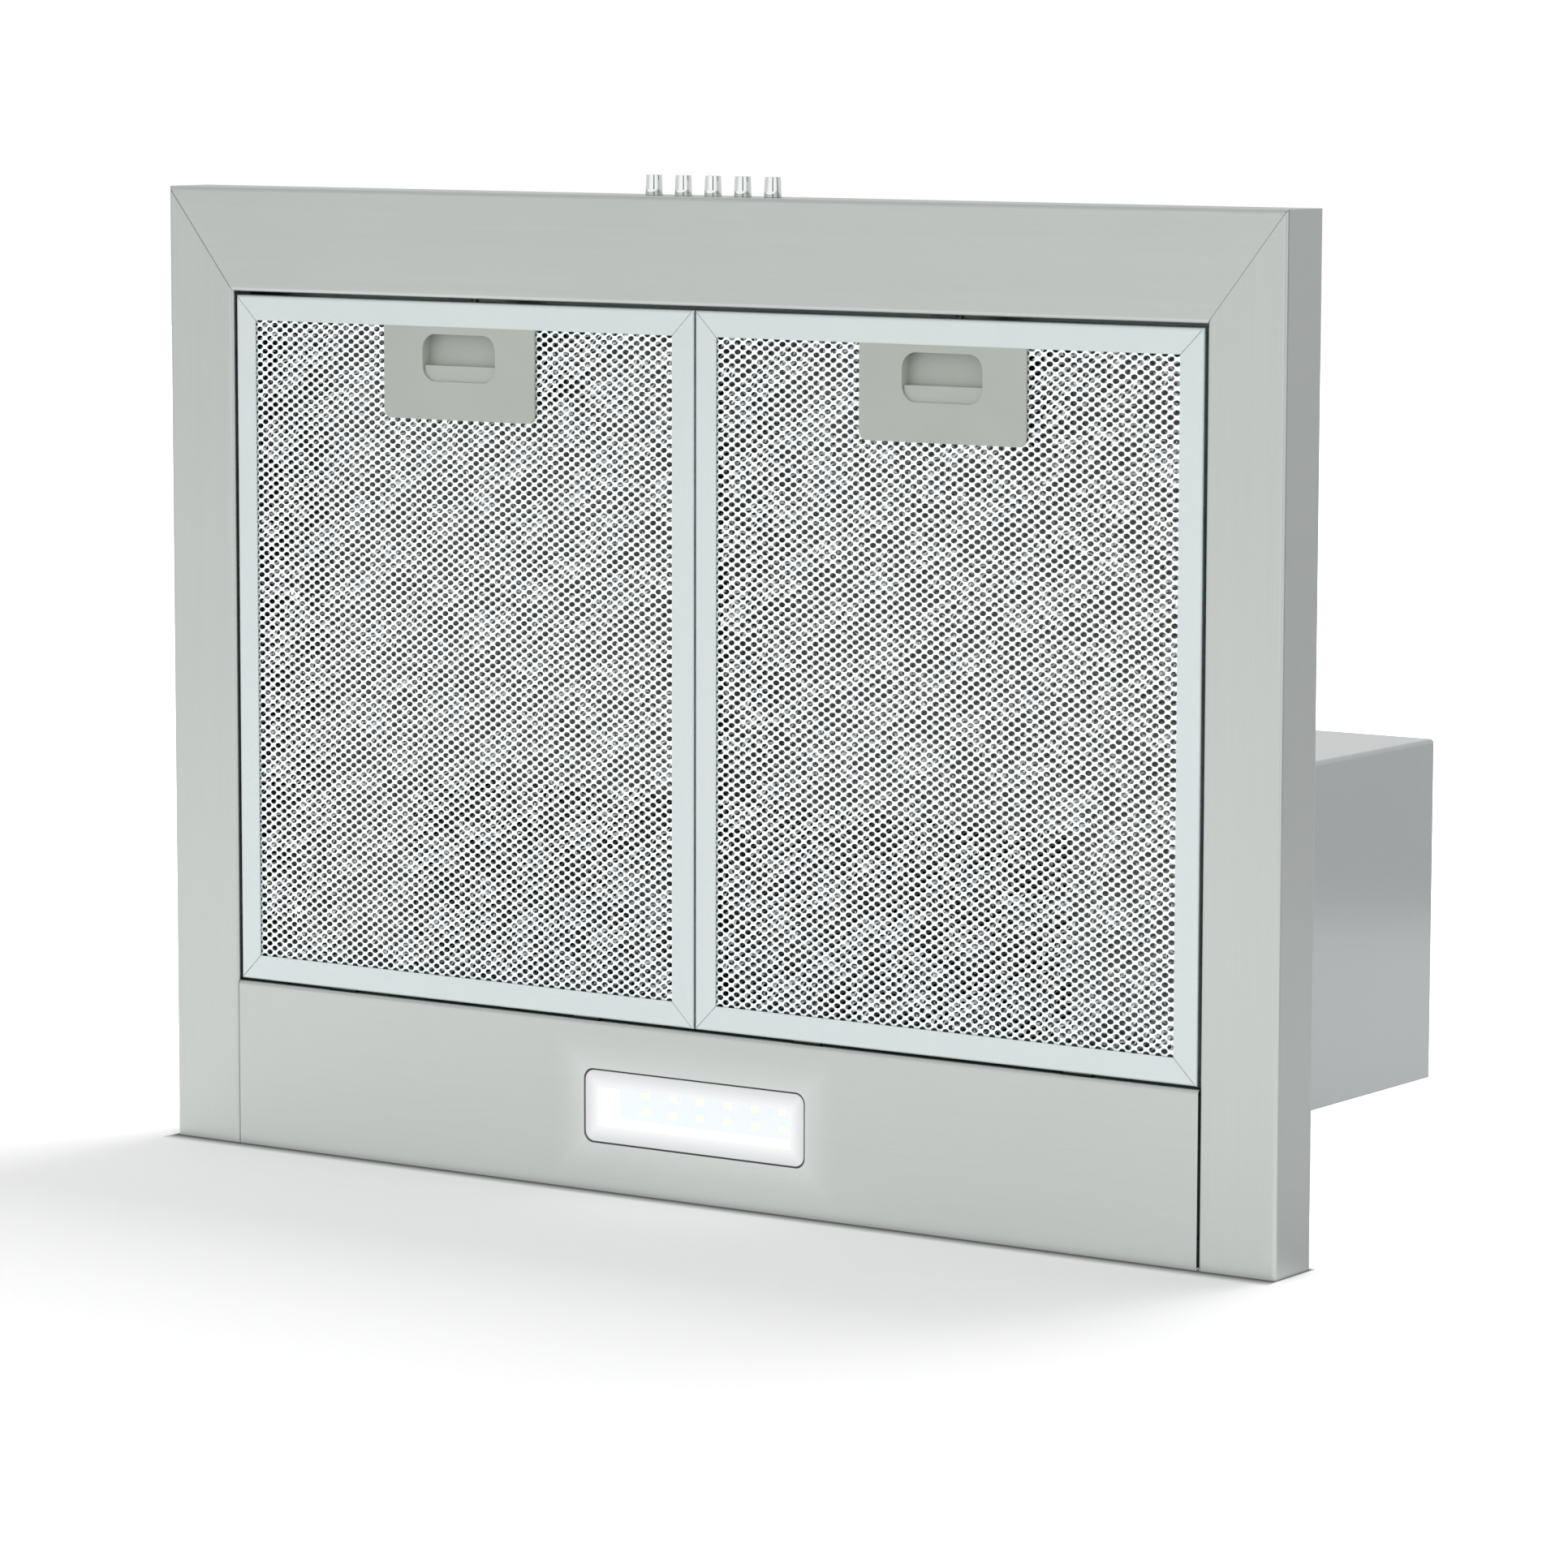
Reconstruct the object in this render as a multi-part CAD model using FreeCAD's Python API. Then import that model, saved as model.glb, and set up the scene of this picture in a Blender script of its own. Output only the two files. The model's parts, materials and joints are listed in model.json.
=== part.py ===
import FreeCAD, Part
import math
import os
from FreeCAD import Vector

# Under-cabinet range hood, in millimetres, as it hangs in use: +Z up, the buttons on the -Y side.
# The origin is the centre of the four cabinet screw holes, on the top face of the canopy.

# Sheet metal
sheet = 1.0
bend = 1.0                     # inside radius of every fold
joint_gap = 0.2                # between sheets that only meet
seam_gap = 0.5                 # round a panel that drops into an opening

# Canopy
canopy_width = 600.0
canopy_depth = 448.0
canopy_height = 30.0
side_lip = 38.0
front_lip = 48.0
return_height = 12.0           # turned-up inner edge of each lip
top_flange = 14.0
joggle_overlap = 4.0

# Cabinet screw holes
screw_span_x = 500.0
screw_span_y = 150.0
screw_hole_radius = 2.75
screw_centre_back = 265.0      # from the front face to the centre of the holes

# Filters
filter_width = 260.0
filter_depth = 320.0
filter_height = 9.0
filter_rise = 0.5              # filter face above the canopy's lowest face
filter_face = 11.5
filter_wall = 0.8
filter_corner = 0.7            # inside radius of the frame's folds
centre_gap = 0.8
front_gap = 1.5
rear_gap = 1.0
mesh_wall = 0.5
mesh_grip = 6.0                # mesh held inside the frame
pleat_pitch = 12.0
pleat_wall = 0.4
tab_width = 14.0
tab_wall = 1.2
tab_spread = 140.0
tab_reach = 3.0                # past the hinge axis
hinge_rise = 2.0               # hinge axis above the filter's lower face
slot_below = 1.4
slot_above = 3.0
slot_side = 1.0

# Filter handle and latch
handle_width = 85.5
handle_depth = 42.0
handle_wall = 1.0
handle_corner = 4.0
grip_width = 41.3
grip_depth = 21.5
grip_corner = 7.0
grip_margin = 3.3
grip_recess = 6.0
grip_free = 14.3               # open part of the grip in front of the latch lip
grip_wall = 1.5                # between the grip's hollow and the latch's cross rail
pocket_margin = 2.0            # mesh cut away round the latch
slide_gap = 0.35
latch_height = 3.6
latch_block = 13.2
latch_rail = 3.0
latch_travel = 4.5
tongue_width = 16.0
tongue_height = 2.0
tongue_reach = 1.2             # past the frame's front edge
spring_room = 7.0
leaf_half = 12.0               # half the span of the latch's bow spring
leaf_wall = 0.4
leaf_height = 2.4
keeper_width = 12.0
keeper_wall = 0.4
keeper_nub = 0.9

# Lamp
lamp_panel_flange = 17.0
lamp_width = 121.0
lamp_depth = 34.0
lamp_corner = 5.0
lamp_back = 409.3              # from the front face to the lamp's centre
bezel_wall = 1.2
bezel_edge = 3.0
window_width = 105.0
window_depth = 17.4
window_wall = 1.0
tray_height = 16.3
tray_wall = 1.2
board_wall = 1.0
chip_columns = 6
chip_rows = 2
chip_pitch_x = 15.0
chip_pitch_y = 7.4
chip_width = 3.5
chip_depth = 2.8
chip_height = 0.7
driver_size = (70.0, 30.0, 15.0)
driver_centre_x = -165.0
driver_rear = 19.0             # driver's front face in front of the tower's rear sheet
driver_round = 1.5
driver_drop_side = 22.0
driver_drop_rear = 16.0

# Push buttons
button_count = 5
button_pitch = 16.0
button_base_radius = 3.9
button_tip_radius = 3.5
button_stand = 9.0
button_travel = 4.0
button_tip_round = 0.8
button_hole_gap = 0.5
stem_radius = 2.5
stem_gap = 0.3
collar_radius = 5.5
collar_wall = 1.5
bow_wall = 0.3                 # the buttons' return springs
bow_height = 4.0
spring_end_gap = 0.1
bow_reach = 2.4                # how far each bow stands out from the stem
stem_overlap = 2.0             # stem left in the switch when the button is out
bracket_foot = 14.0
switch_back = 13.0             # front wall of the switch behind the canopy's front face
switch_size = (92.0, 24.0, 18.0)
switch_wall = 1.5

# Tower
tower_width = 400.0
tower_depth = 160.0
tower_height = 285.0
tower_back = 255.2             # from the canopy's front face to the tower's front face
tower_flange = 12.0
cover_flange = 14.0
inlet_width = 360.0
inlet_depth = 100.0
inlet_margin = 14.8
inlet_corner = 10.0

# Fan
wheel_radius = 52.0
wheel_width = 108.0
blade_depth = 10.0
blade_count = 36
blade_wall = 0.8
wheel_plate = 1.5
hub_radius = 10.0
hub_width = 16.0
shaft_radius = 4.0
running_gap = 0.05
scroll_wall = 1.5
scroll_width = 124.0
scroll_steps = (60.0, 66.0, 72.0)
cutoff_angle = 125.0
scroll_flange = 10.0
scroll_flange_margin = 2.0
duct_shoulder = 0.4            # share of the duct's height where its front wall turns upright
throat_depth = 5.0
mouth_lip = 7.0
fan_rise = 100.0               # fan axis above the canopy's top face
fan_offset = -3.0              # fan axis from the middle of the tower, along Y
eye_radius = 44.0
motor_radius = 32.0
motor_length = 42.0
motor_gap = 4.0
bearing_radius = 11.0
bearing_width = 5.0
winding_inset = 10.0           # from the motor's ends to the windings
winding_length = 6.0
winding_margin = 3.0
rotor_gap = 0.5
winding_clear = 2.5            # from the rotor to the windings
band_wall = 2.0
band_near = 8.0
band_far = 18.0
arm_near = 11.0
arm_far = 15.0
arm_half = 4.0
foot_reach = 9.0               # from the eye to the bracket's feet
foot_wall = 5.0

# Outlet
outlet_radius = 60.0
outlet_wall = 1.7
outlet_length = 38.0
outlet_flange = 72.0
flange_wall = 1.5
ledge_rise = 7.0
ledge_wall = 1.0
ledge_depth = 2.6
flap_gap = 0.4
flap_wall = 1.2
flap_pin_radius = 1.0
flap_spread = 2.5
pin_gap = 0.08
flap_rest = 0.3                # flap above its ledge
bar_clear = 0.5                # between the bar and each pin
bar_drop = 3.0
pin_end_gap = 0.3
flange_hide = 0.5              # how far ledge and bar run into the tube's wall

# Electrics
terminal_size = (55.0, 54.0, 45.0)
terminal_x = -162.5
terminal_rise = 200.0
terminal_wall = 1.5
block_side = 8.0               # from the box's ends to the terminal block
block_end = 14.0
block_depth = 16.0
way_pitch = 9.0
way_radius = 2.0
capacitor_radius = 12.0
capacitor_length = 50.0
capacitor_rise = 90.0
capacitor_gap = 1.0            # to the rear cover
clip_wall = 1.0                # band that holds the capacitor
clip_gap = 0.1
clip_low = 15.0
clip_high = 27.0
clip_tongue = 26.0
cable_drop_side = 13.5
cable_drop_front = 17.0
cable_lift = 3.0               # harness above the buttons' axis
cable_inset = 12.0             # harness behind the switch's front wall
lead_rise = 34.0               # motor lead above the motor before it turns
lead_side = 14.0
lead_inset = 12.0
cable_radius = 3.0
lead_radius = 2.0
gland_radius = 8.0
gland_bore = 4.0
gland_length = 30.0
gland_nut = 12.0
gland_wall = 5.0

# Screws
screw_radius = 1.9
screw_head = 3.8
screw_head_height = 2.0
screw_length = 6.0
screw_gap = 0.2

# Places that follow from the sizes above
half_width = canopy_width / 2
front = -screw_centre_back
rear = front + canopy_depth
underside = -canopy_height
opening_half = half_width - side_lip
opening_front = front + front_lip
filter_front = opening_front + front_gap
filter_rear = filter_front + filter_depth
filter_low = underside + filter_rise
filter_high = filter_low + filter_height
panel_front = filter_rear + rear_gap
hinge_y = panel_front + sheet / 2
hinge_z = filter_low + hinge_rise
tower_front = front + tower_back
tower_rear = tower_front + tower_depth
tower_mid = (tower_front + tower_rear) / 2
tower_half = tower_width / 2
lamp_y = front + lamp_back
button_z = underside / 2
fan_y = tower_mid + fan_offset
plate_low = tower_height - sheet
mesh_low = filter_low + filter_wall
handle_low = mesh_low - handle_wall
latch_low = mesh_low + slide_gap
tongue_low = latch_low + latch_height - tongue_height
nub_high = tongue_low - slide_gap
nub_low = nub_high - keeper_nub
terminal_rear = tower_rear - sheet
terminal_front = terminal_rear - terminal_size[1]


def box(x, y, z):
    # A block from three (low, high) pairs.
    return Part.makeBox(x[1] - x[0], y[1] - y[0], z[1] - z[0], Vector(x[0], y[0], z[0]))


def rod(axis, centre, radius, start, end):
    # A cylinder along X, Y or Z; centre holds the other two coordinates, in order.
    low = min(start, end)
    length = abs(end - start)
    if axis == "X":
        return Part.makeCylinder(radius, length, Vector(low, centre[0], centre[1]), Vector(1, 0, 0))
    if axis == "Y":
        return Part.makeCylinder(radius, length, Vector(centre[0], low, centre[1]), Vector(0, 1, 0))
    return Part.makeCylinder(radius, length, Vector(centre[0], centre[1], low), Vector(0, 0, 1))


def ring(axis, centre, outer, inner, start, end):
    reach = 1.0
    hole = rod(axis, centre, inner, min(start, end) - reach, max(start, end) + reach)
    return rod(axis, centre, outer, start, end).cut(hole)


def on_plane(plane, p, q, level):
    if plane == "YZ":
        return Vector(level, p, q)
    if plane == "XZ":
        return Vector(p, level, q)
    return Vector(p, q, level)


def rounded_edges(corners, plane, level):
    # Straight edges between corners (p, q, radius), with a tangent arc at each radius.
    count = len(corners)
    ends = []
    for i in range(count):
        before = Vector(*corners[i - 1][:2], 0)
        here = Vector(*corners[i][:2], 0)
        after = Vector(*corners[(i + 1) % count][:2], 0)
        radius = corners[i][2]
        if radius <= 0:
            ends.append((here, None, here))
            continue
        to_before = (before - here).normalize()
        to_after = (after - here).normalize()
        half_turn = to_before.getAngle(to_after) / 2
        reach = radius / math.tan(half_turn)
        middle = (to_before + to_after).normalize()
        centre = here + middle * (radius / math.sin(half_turn))
        ends.append((here + to_before * reach, centre - middle * radius, here + to_after * reach))
    edges = []
    for i in range(count):
        start, through, end = ends[i]
        next_start = ends[(i + 1) % count][0]
        if through is not None:
            points = [on_plane(plane, v.x, v.y, level) for v in (start, through, end)]
            edges.append(Part.Arc(*points).toShape())
        if end.distanceToPoint(next_start) > 1e-6:
            line = [on_plane(plane, v.x, v.y, level) for v in (end, next_start)]
            edges.append(Part.makeLine(*line))
    return edges


def prism(corners, plane, start, end):
    # The closed outline drawn on a plane, drawn out along the plane's normal from start to end.
    face = Part.Face(Part.Wire(rounded_edges(corners, plane, start)))
    return face.extrude(on_plane(plane, 0, 0, end - start))


def square(points):
    return [(p, q, 0) for p, q in points]


def slab(x, y, z, radius):
    # A plate with rounded corners, seen from above.
    corners = [(x[0], y[0], radius), (x[1], y[0], radius), (x[1], y[1], radius), (x[0], y[1], radius)]
    return prism(corners, "XY", z[0], z[1])


def folded(path, wall, inside):
    # The outline of a folded strip whose material lies to the left of the path.
    def offset(i):
        normals = []
        for a, b in ((i - 1, i), (i, i + 1)):
            if a >= 0 and b < len(path):
                run = Vector(path[b][0] - path[a][0], path[b][1] - path[a][1], 0).normalize()
                normals.append(Vector(-run.y, run.x, 0))
        if len(normals) == 1:
            return normals[0] * wall, 0
        shift = (normals[0] + normals[1]) * (wall / (1 + normals[0].dot(normals[1])))
        return shift, normals[0].cross(normals[1]).z

    outer = []
    inner = []
    for i, point in enumerate(path):
        shift, turn = offset(i)
        near = inside + wall if turn > 0 else inside
        far = inside if turn > 0 else inside + wall
        if turn == 0:
            near = 0
            far = 0
        outer.append((point[0], point[1], near))
        inner.append((point[0] + shift.x, point[1] + shift.y, far))
    return outer + inner[::-1]


def swept(points, radius, bend_radius):
    # A round cable along straight runs joined by tangent arcs.
    path = [Vector(*p) for p in points]
    edges = []
    start = path[0]
    for i in range(1, len(path) - 1):
        to_before = (path[i - 1] - path[i]).normalize()
        to_after = (path[i + 1] - path[i]).normalize()
        half_turn = to_before.getAngle(to_after) / 2
        reach = bend_radius / math.tan(half_turn)
        middle = (to_before + to_after).normalize()
        centre = path[i] + middle * (bend_radius / math.sin(half_turn))
        first = path[i] + to_before * reach
        last = path[i] + to_after * reach
        edges.append(Part.makeLine(start, first))
        edges.append(Part.Arc(first, centre - middle * bend_radius, last).toShape())
        start = last
    edges.append(Part.makeLine(start, path[-1]))
    spine = Part.Wire(edges)
    section = Part.Wire([Part.makeCircle(radius, path[0], path[1] - path[0])])
    return spine.makePipeShell([section], True, True)


def bow_spring(x, start, end):
    # A washer on the switch and two bowed leaves beside the button's stem.
    inner = stem_radius + stem_gap
    washer = ring("Y", (x, button_z), inner + bow_wall + 1, inner, end - bow_wall, end)
    leaves = []
    middle = (start + end) / 2
    low = button_z - bow_height / 2
    for side in (-1, 1):
        root = x + side * inner
        edges = []
        for shift in (0, side * bow_wall):
            points = [
                Vector(root + shift, start, low),
                Vector(root + side * bow_reach + shift, middle, low),
                Vector(root + shift, end, low),
            ]
            edges.append(Part.Arc(*points).toShape())
        for y in (start, end):
            edges.append(Part.makeLine(Vector(root, y, low), Vector(root + side * bow_wall, y, low)))
        leaf = Part.Face(Part.Wire(Part.__sortEdges__(edges)))
        leaves.append(leaf.extrude(Vector(0, 0, bow_height)))
    return joined([washer] + leaves)


def joined(shapes):
    return shapes[0].fuse(shapes[1:]).removeSplitter()


def without(shape, tools):
    return shape.cut(Part.makeCompound(tools)) if tools else shape


def keep(name, shape):
    solids = shape.Solids
    if not solids or not all(s.isValid() and s.Volume > 0 for s in solids):
        raise ValueError("bad solid in " + name)
    shape = solids[0] if len(solids) == 1 else Part.makeCompound(solids)
    shape.exportStep("parts/" + name + ".step")
    print(name, len(solids), round(shape.Volume / 1000, 2), "cm3")


def screw(x, y, z, axis, sign):
    # A pan-head screw: the head stands off the seat at (x, y, z), the shank goes the other way.
    place = {"X": (y, z), "Y": (x, z), "Z": (x, y)}[axis]
    seat = {"X": x, "Y": y, "Z": z}[axis]
    head = rod(axis, place, screw_head, seat, seat + sign * screw_head_height)
    shank = rod(axis, place, screw_radius, seat, seat - sign * screw_length)
    return head.fuse(shank).removeSplitter()


def screw_hole(x, y, z, axis):
    place = {"X": (y, z), "Y": (x, z), "Z": (x, y)}[axis]
    seat = {"X": x, "Y": y, "Z": z}[axis]
    return rod(axis, place, screw_radius + screw_gap, seat - screw_length, seat + screw_length)


# Screw places that several pieces share
tower_screw_places = [
    (side * x, y)
    for side in (-1, 1)
    for x, y in (
        (tower_half / 2, tower_front + sheet + tower_flange / 2),
        (tower_half - sheet - tower_flange / 2, tower_mid),
        (tower_half / 2, tower_rear - sheet - tower_flange / 2),
    )
]
side_screw_rise = 34.0          # screws of the rear cover, low on the tower's sides
lip_screw_places = [(side * tower_half / 2, plate_low - tower_flange / 2) for side in (-1, 1)]
collar_screw_reach = (outlet_radius + outlet_flange) / 2 * math.sqrt(0.5)
collar_screw_places = [
    (side * collar_screw_reach, step * collar_screw_reach)
    for side in (-1, 1)
    for step in (-1, 1)
]
button_places = [(i - (button_count - 1) / 2) * button_pitch for i in range(button_count)]
cable_drop = (terminal_x - cable_drop_side, terminal_front + cable_drop_front)
driver_drop = (driver_centre_x + driver_drop_side, terminal_rear - driver_drop_rear)
gland_place = (terminal_x, terminal_front + terminal_size[1] / 2)
leads = []                     # short cables, gathered as their sub-parts are made
screws = []                    # every screw, gathered in the same way


def lip_path(lip):
    # From the top flange down the outer face, in along the lip and up its turned edge
    return [
        (top_flange, 0), (0, 0), (0, underside), (lip, underside), (lip, underside + sheet + return_height)
    ]


def canopy():
    # Front rim, cut to the mitres that run from the outer corners to the corners of the opening
    corners = [(front + p, q, r) for p, q, r in folded(lip_path(front_lip), sheet, bend)]
    rim = prism(corners, "YZ", -half_width, half_width)
    wide = half_width - joint_gap
    narrow = opening_half - joint_gap
    mitre = square([(-wide, front), (wide, front), (narrow, opening_front), (-narrow, opening_front)])
    rim = rim.common(prism(mitre, "XY", underside - sheet, sheet))
    holes = [
        rod("Y", (x, button_z), button_base_radius + button_hole_gap, front - sheet, front + 2 * sheet)
        for x in button_places
    ]
    for side in (-1, 1):
        centre = side * (centre_gap + filter_width) / 2
        half = keeper_width / 2 + joint_gap
        holes.append(box(
            (centre - half, centre + half),
            (opening_front - 2 * sheet, opening_front + sheet),
            (nub_low - joint_gap, nub_high + joint_gap),
        ))
    keep("canopy_front_rim", without(rim, holes))

    # Side rims
    for name, side in (("left", -1), ("right", 1)):
        corners = [(side * (half_width - p), q, r) for p, q, r in folded(lip_path(side_lip), sheet, bend)]
        rim = prism(corners, "XZ", front, rear)
        region = square([
            (side * half_width, front), (side * opening_half, opening_front),
            (side * opening_half, rear), (side * half_width, rear),
        ])
        rim = rim.common(prism(region, "XY", underside - sheet, sheet))
        inner = half_width - sheet - bend - joint_gap
        notch = box((-inner, inner), (rear - sheet - joint_gap, rear + sheet), (underside + sheet, sheet))
        keep("canopy_" + name + "_rim", rim.cut(notch))

    # Rear rail, between the side rims, with an inner foot that carries the lamp panel
    foot = top_flange - sheet
    path = [(top_flange, 0), (0, 0), (0, underside + sheet), (foot, underside + sheet)]
    corners = [(rear - p, q, r) for p, q, r in folded(path, sheet, bend)]
    inner = half_width - sheet - bend - 2 * joint_gap
    rail = prism(corners, "YZ", -inner, inner)
    cuts = []
    for side in (-1, 1):
        top_end = side * (half_width - top_flange - joint_gap)
        foot_end = side * (opening_half - seam_gap)
        outer = side * half_width
        cuts.append(box(sorted((top_end, outer)), (front, rear - sheet), (-2 * sheet, sheet)))
        cuts.append(box(sorted((foot_end, outer)), (front, rear - sheet), (underside, underside + 3 * sheet)))
    keep("canopy_rear_rail", without(rail, cuts))

    # Top panel, stepped down at its edges to lie under the rims' flanges
    inset = top_flange + joint_gap
    plate_x = half_width - inset
    upper = box((-plate_x, plate_x), (front + inset, rear - inset), (-sheet, 0))
    edge = sheet + bend + joint_gap
    strip = box((-half_width + edge, half_width - edge), (front + edge, rear - edge), (-2 * sheet, -sheet))
    hollow_x = plate_x - joggle_overlap
    hollow = box(
        (-hollow_x, hollow_x),
        (front + inset + joggle_overlap, rear - inset - joggle_overlap),
        (-3 * sheet, -sheet),
    )
    panel = joined([upper, strip.cut(hollow)])
    inlet_front = tower_front + inlet_margin
    inlet = slab(
        (-inlet_width / 2, inlet_width / 2),
        (inlet_front, inlet_front + inlet_depth),
        (-3 * sheet, sheet),
        inlet_corner,
    )
    cuts = [inlet]
    for x in (-screw_span_x / 2, screw_span_x / 2):
        for y in (-screw_span_y / 2, screw_span_y / 2):
            cuts.append(rod("Z", (x, y), screw_hole_radius, -3 * sheet, sheet))
    cuts.append(rod("Z", cable_drop, cable_radius + seam_gap, -3 * sheet, sheet))
    cuts.append(rod("Z", driver_drop, lead_radius + seam_gap, -3 * sheet, sheet))
    cuts += [screw_hole(x, y, 0, "Z") for x, y in tower_screw_places]
    keep("canopy_top_panel", without(panel, cuts))


def lamp():
    # Panel behind the filters, with the slots that the filters' tabs turn in
    path = [(panel_front, underside + sheet + lamp_panel_flange), (panel_front, underside), (rear, underside)]
    panel_half = opening_half - seam_gap
    panel = prism(folded(path, sheet, bend), "YZ", -panel_half, panel_half)
    ears = [
        box(
            sorted((side * panel_half, side * (panel_half - sheet))),
            (panel_front + 2 * sheet + bend, rear - top_flange),
            (underside + sheet, underside + sheet + return_height),
        )
        for side in (-1, 1)
    ]
    panel = joined([panel] + ears)
    cuts = [
        slab(
            (-lamp_width / 2, lamp_width / 2),
            (lamp_y - lamp_depth / 2, lamp_y + lamp_depth / 2),
            (underside - sheet, underside + 2 * sheet),
            lamp_corner,
        )
    ]
    for side in (-1, 1):
        centre = side * (centre_gap + filter_width) / 2
        for tab in (-1, 1):
            x = centre + tab * tab_spread / 2
            half = tab_width / 2 + slot_side
            slot = box(
                (x - half, x + half),
                (panel_front - sheet, panel_front + 2 * sheet),
                (hinge_z - slot_below, hinge_z + slot_above),
            )
            cuts.append(slot)
    keep("lamp_panel", without(panel, cuts))

    # Bezel: the visible frosted border, with a flange behind the panel
    half_x = lamp_width / 2 - joint_gap
    half_y = lamp_depth / 2 - joint_gap
    face_top = underside + sheet
    face_corner = lamp_corner - joint_gap
    face = slab((-half_x, half_x), (lamp_y - half_y, lamp_y + half_y), (underside, face_top), face_corner)
    wide = lamp_width / 2 + bezel_edge
    deep = lamp_depth / 2 + bezel_edge
    back_top = face_top + bezel_wall
    back = slab((-wide, wide), (lamp_y - deep, lamp_y + deep), (face_top, back_top), lamp_corner)
    hole_x = window_width / 2
    hole_y = window_depth / 2
    hole = box((-hole_x, hole_x), (lamp_y - hole_y, lamp_y + hole_y), (underside - sheet, back_top + sheet))
    keep("lamp_bezel", joined([face, back]).cut(hole))

    # Window pane, just inside the bezel's opening
    pane_x = hole_x - joint_gap
    pane_y = hole_y - joint_gap
    pane_top = back_top - joint_gap
    pane_z = (pane_top - window_wall, pane_top)
    keep("lamp_window", box((-pane_x, pane_x), (lamp_y - pane_y, lamp_y + pane_y), pane_z))

    # Reflector tray over the window
    rim = slab((-wide, wide), (lamp_y - deep, lamp_y + deep), (back_top, back_top + tray_wall), lamp_corner)
    tray_top = back_top + tray_height
    tub_x = hole_x - joint_gap
    tub_y = hole_y - joint_gap
    outside = box(
        (-tub_x - tray_wall, tub_x + tray_wall),
        (lamp_y - tub_y - tray_wall, lamp_y + tub_y + tray_wall),
        (back_top, tray_top),
    )
    inside = box((-tub_x, tub_x), (lamp_y - tub_y, lamp_y + tub_y), (back_top - sheet, tray_top - tray_wall))
    keep("lamp_tray", joined([rim, outside]).cut(inside))

    # Circuit board and its chips
    board_top = tray_top - tray_wall
    board_low = board_top - board_wall
    board_x = tub_x - joint_gap
    board_y = tub_y - joint_gap
    keep("led_board", box((-board_x, board_x), (lamp_y - board_y, lamp_y + board_y), (board_low, board_top)))
    chips = []
    for column in range(chip_columns):
        for row in range(chip_rows):
            x = (column - (chip_columns - 1) / 2) * chip_pitch_x
            y = lamp_y + (row - (chip_rows - 1) / 2) * chip_pitch_y
            chips.append(box(
                (x - chip_width / 2, x + chip_width / 2),
                (y - chip_depth / 2, y + chip_depth / 2),
                (board_low - chip_height, board_low),
            ))
    keep("led_chips", Part.makeCompound(chips))

    # Driver under the top panel, its lead to the tray and its supply lead up to the terminal box
    length, depth, height = driver_size
    driver_front = terminal_rear - driver_rear
    driver_y = (driver_front, driver_front + depth)
    driver_x = (driver_centre_x - length / 2, driver_centre_x + length / 2)
    driver = box(driver_x, driver_y, (-sheet - height, -sheet))
    driver = driver.makeFillet(driver_round, [e for e in driver.Edges if e.BoundBox.ZLength > height / 2])
    keep("led_driver", driver)
    lead_z = tray_top - tray_wall - lead_radius
    leads.append(rod("X", (lamp_y, lead_z), lead_radius, driver_x[1], -tub_x - tray_wall))
    leads.append(rod("Z", driver_drop, lead_radius, -sheet, terminal_rise))


def channel(length, width, height, wall, inside):
    # A U channel along +X with its web on the plane Y = 0 and its legs towards +Y, from Z = 0 up.
    path = [(width, 0), (0, 0), (0, height), (width, height)]
    corners = folded(path[::-1], wall, inside)
    return prism(corners, "YZ", 0, length)


def mitred_frame(centre):
    # Four channels with the open side inwards, mitred at 45 degrees.
    shapes = []
    mid_y = (filter_front + filter_rear) / 2
    for turn in range(4):
        length = filter_width if turn % 2 == 0 else filter_depth
        across = filter_depth if turn % 2 == 0 else filter_width
        rail = channel(length, filter_face, filter_height, filter_wall, filter_corner)
        cutter = square([
            (0, 0), (length, 0), (length - filter_face, filter_face), (filter_face, filter_face),
        ])
        rail = rail.common(prism(cutter, "XY", -1, filter_height + 1))
        rail.translate(Vector(-length / 2, -across / 2, 0))
        rail.rotate(Vector(0, 0, 0), Vector(0, 0, 1), 90 * turn)
        rail.translate(Vector(centre, mid_y, filter_low))
        shapes.append(rail)
    return shapes


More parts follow.
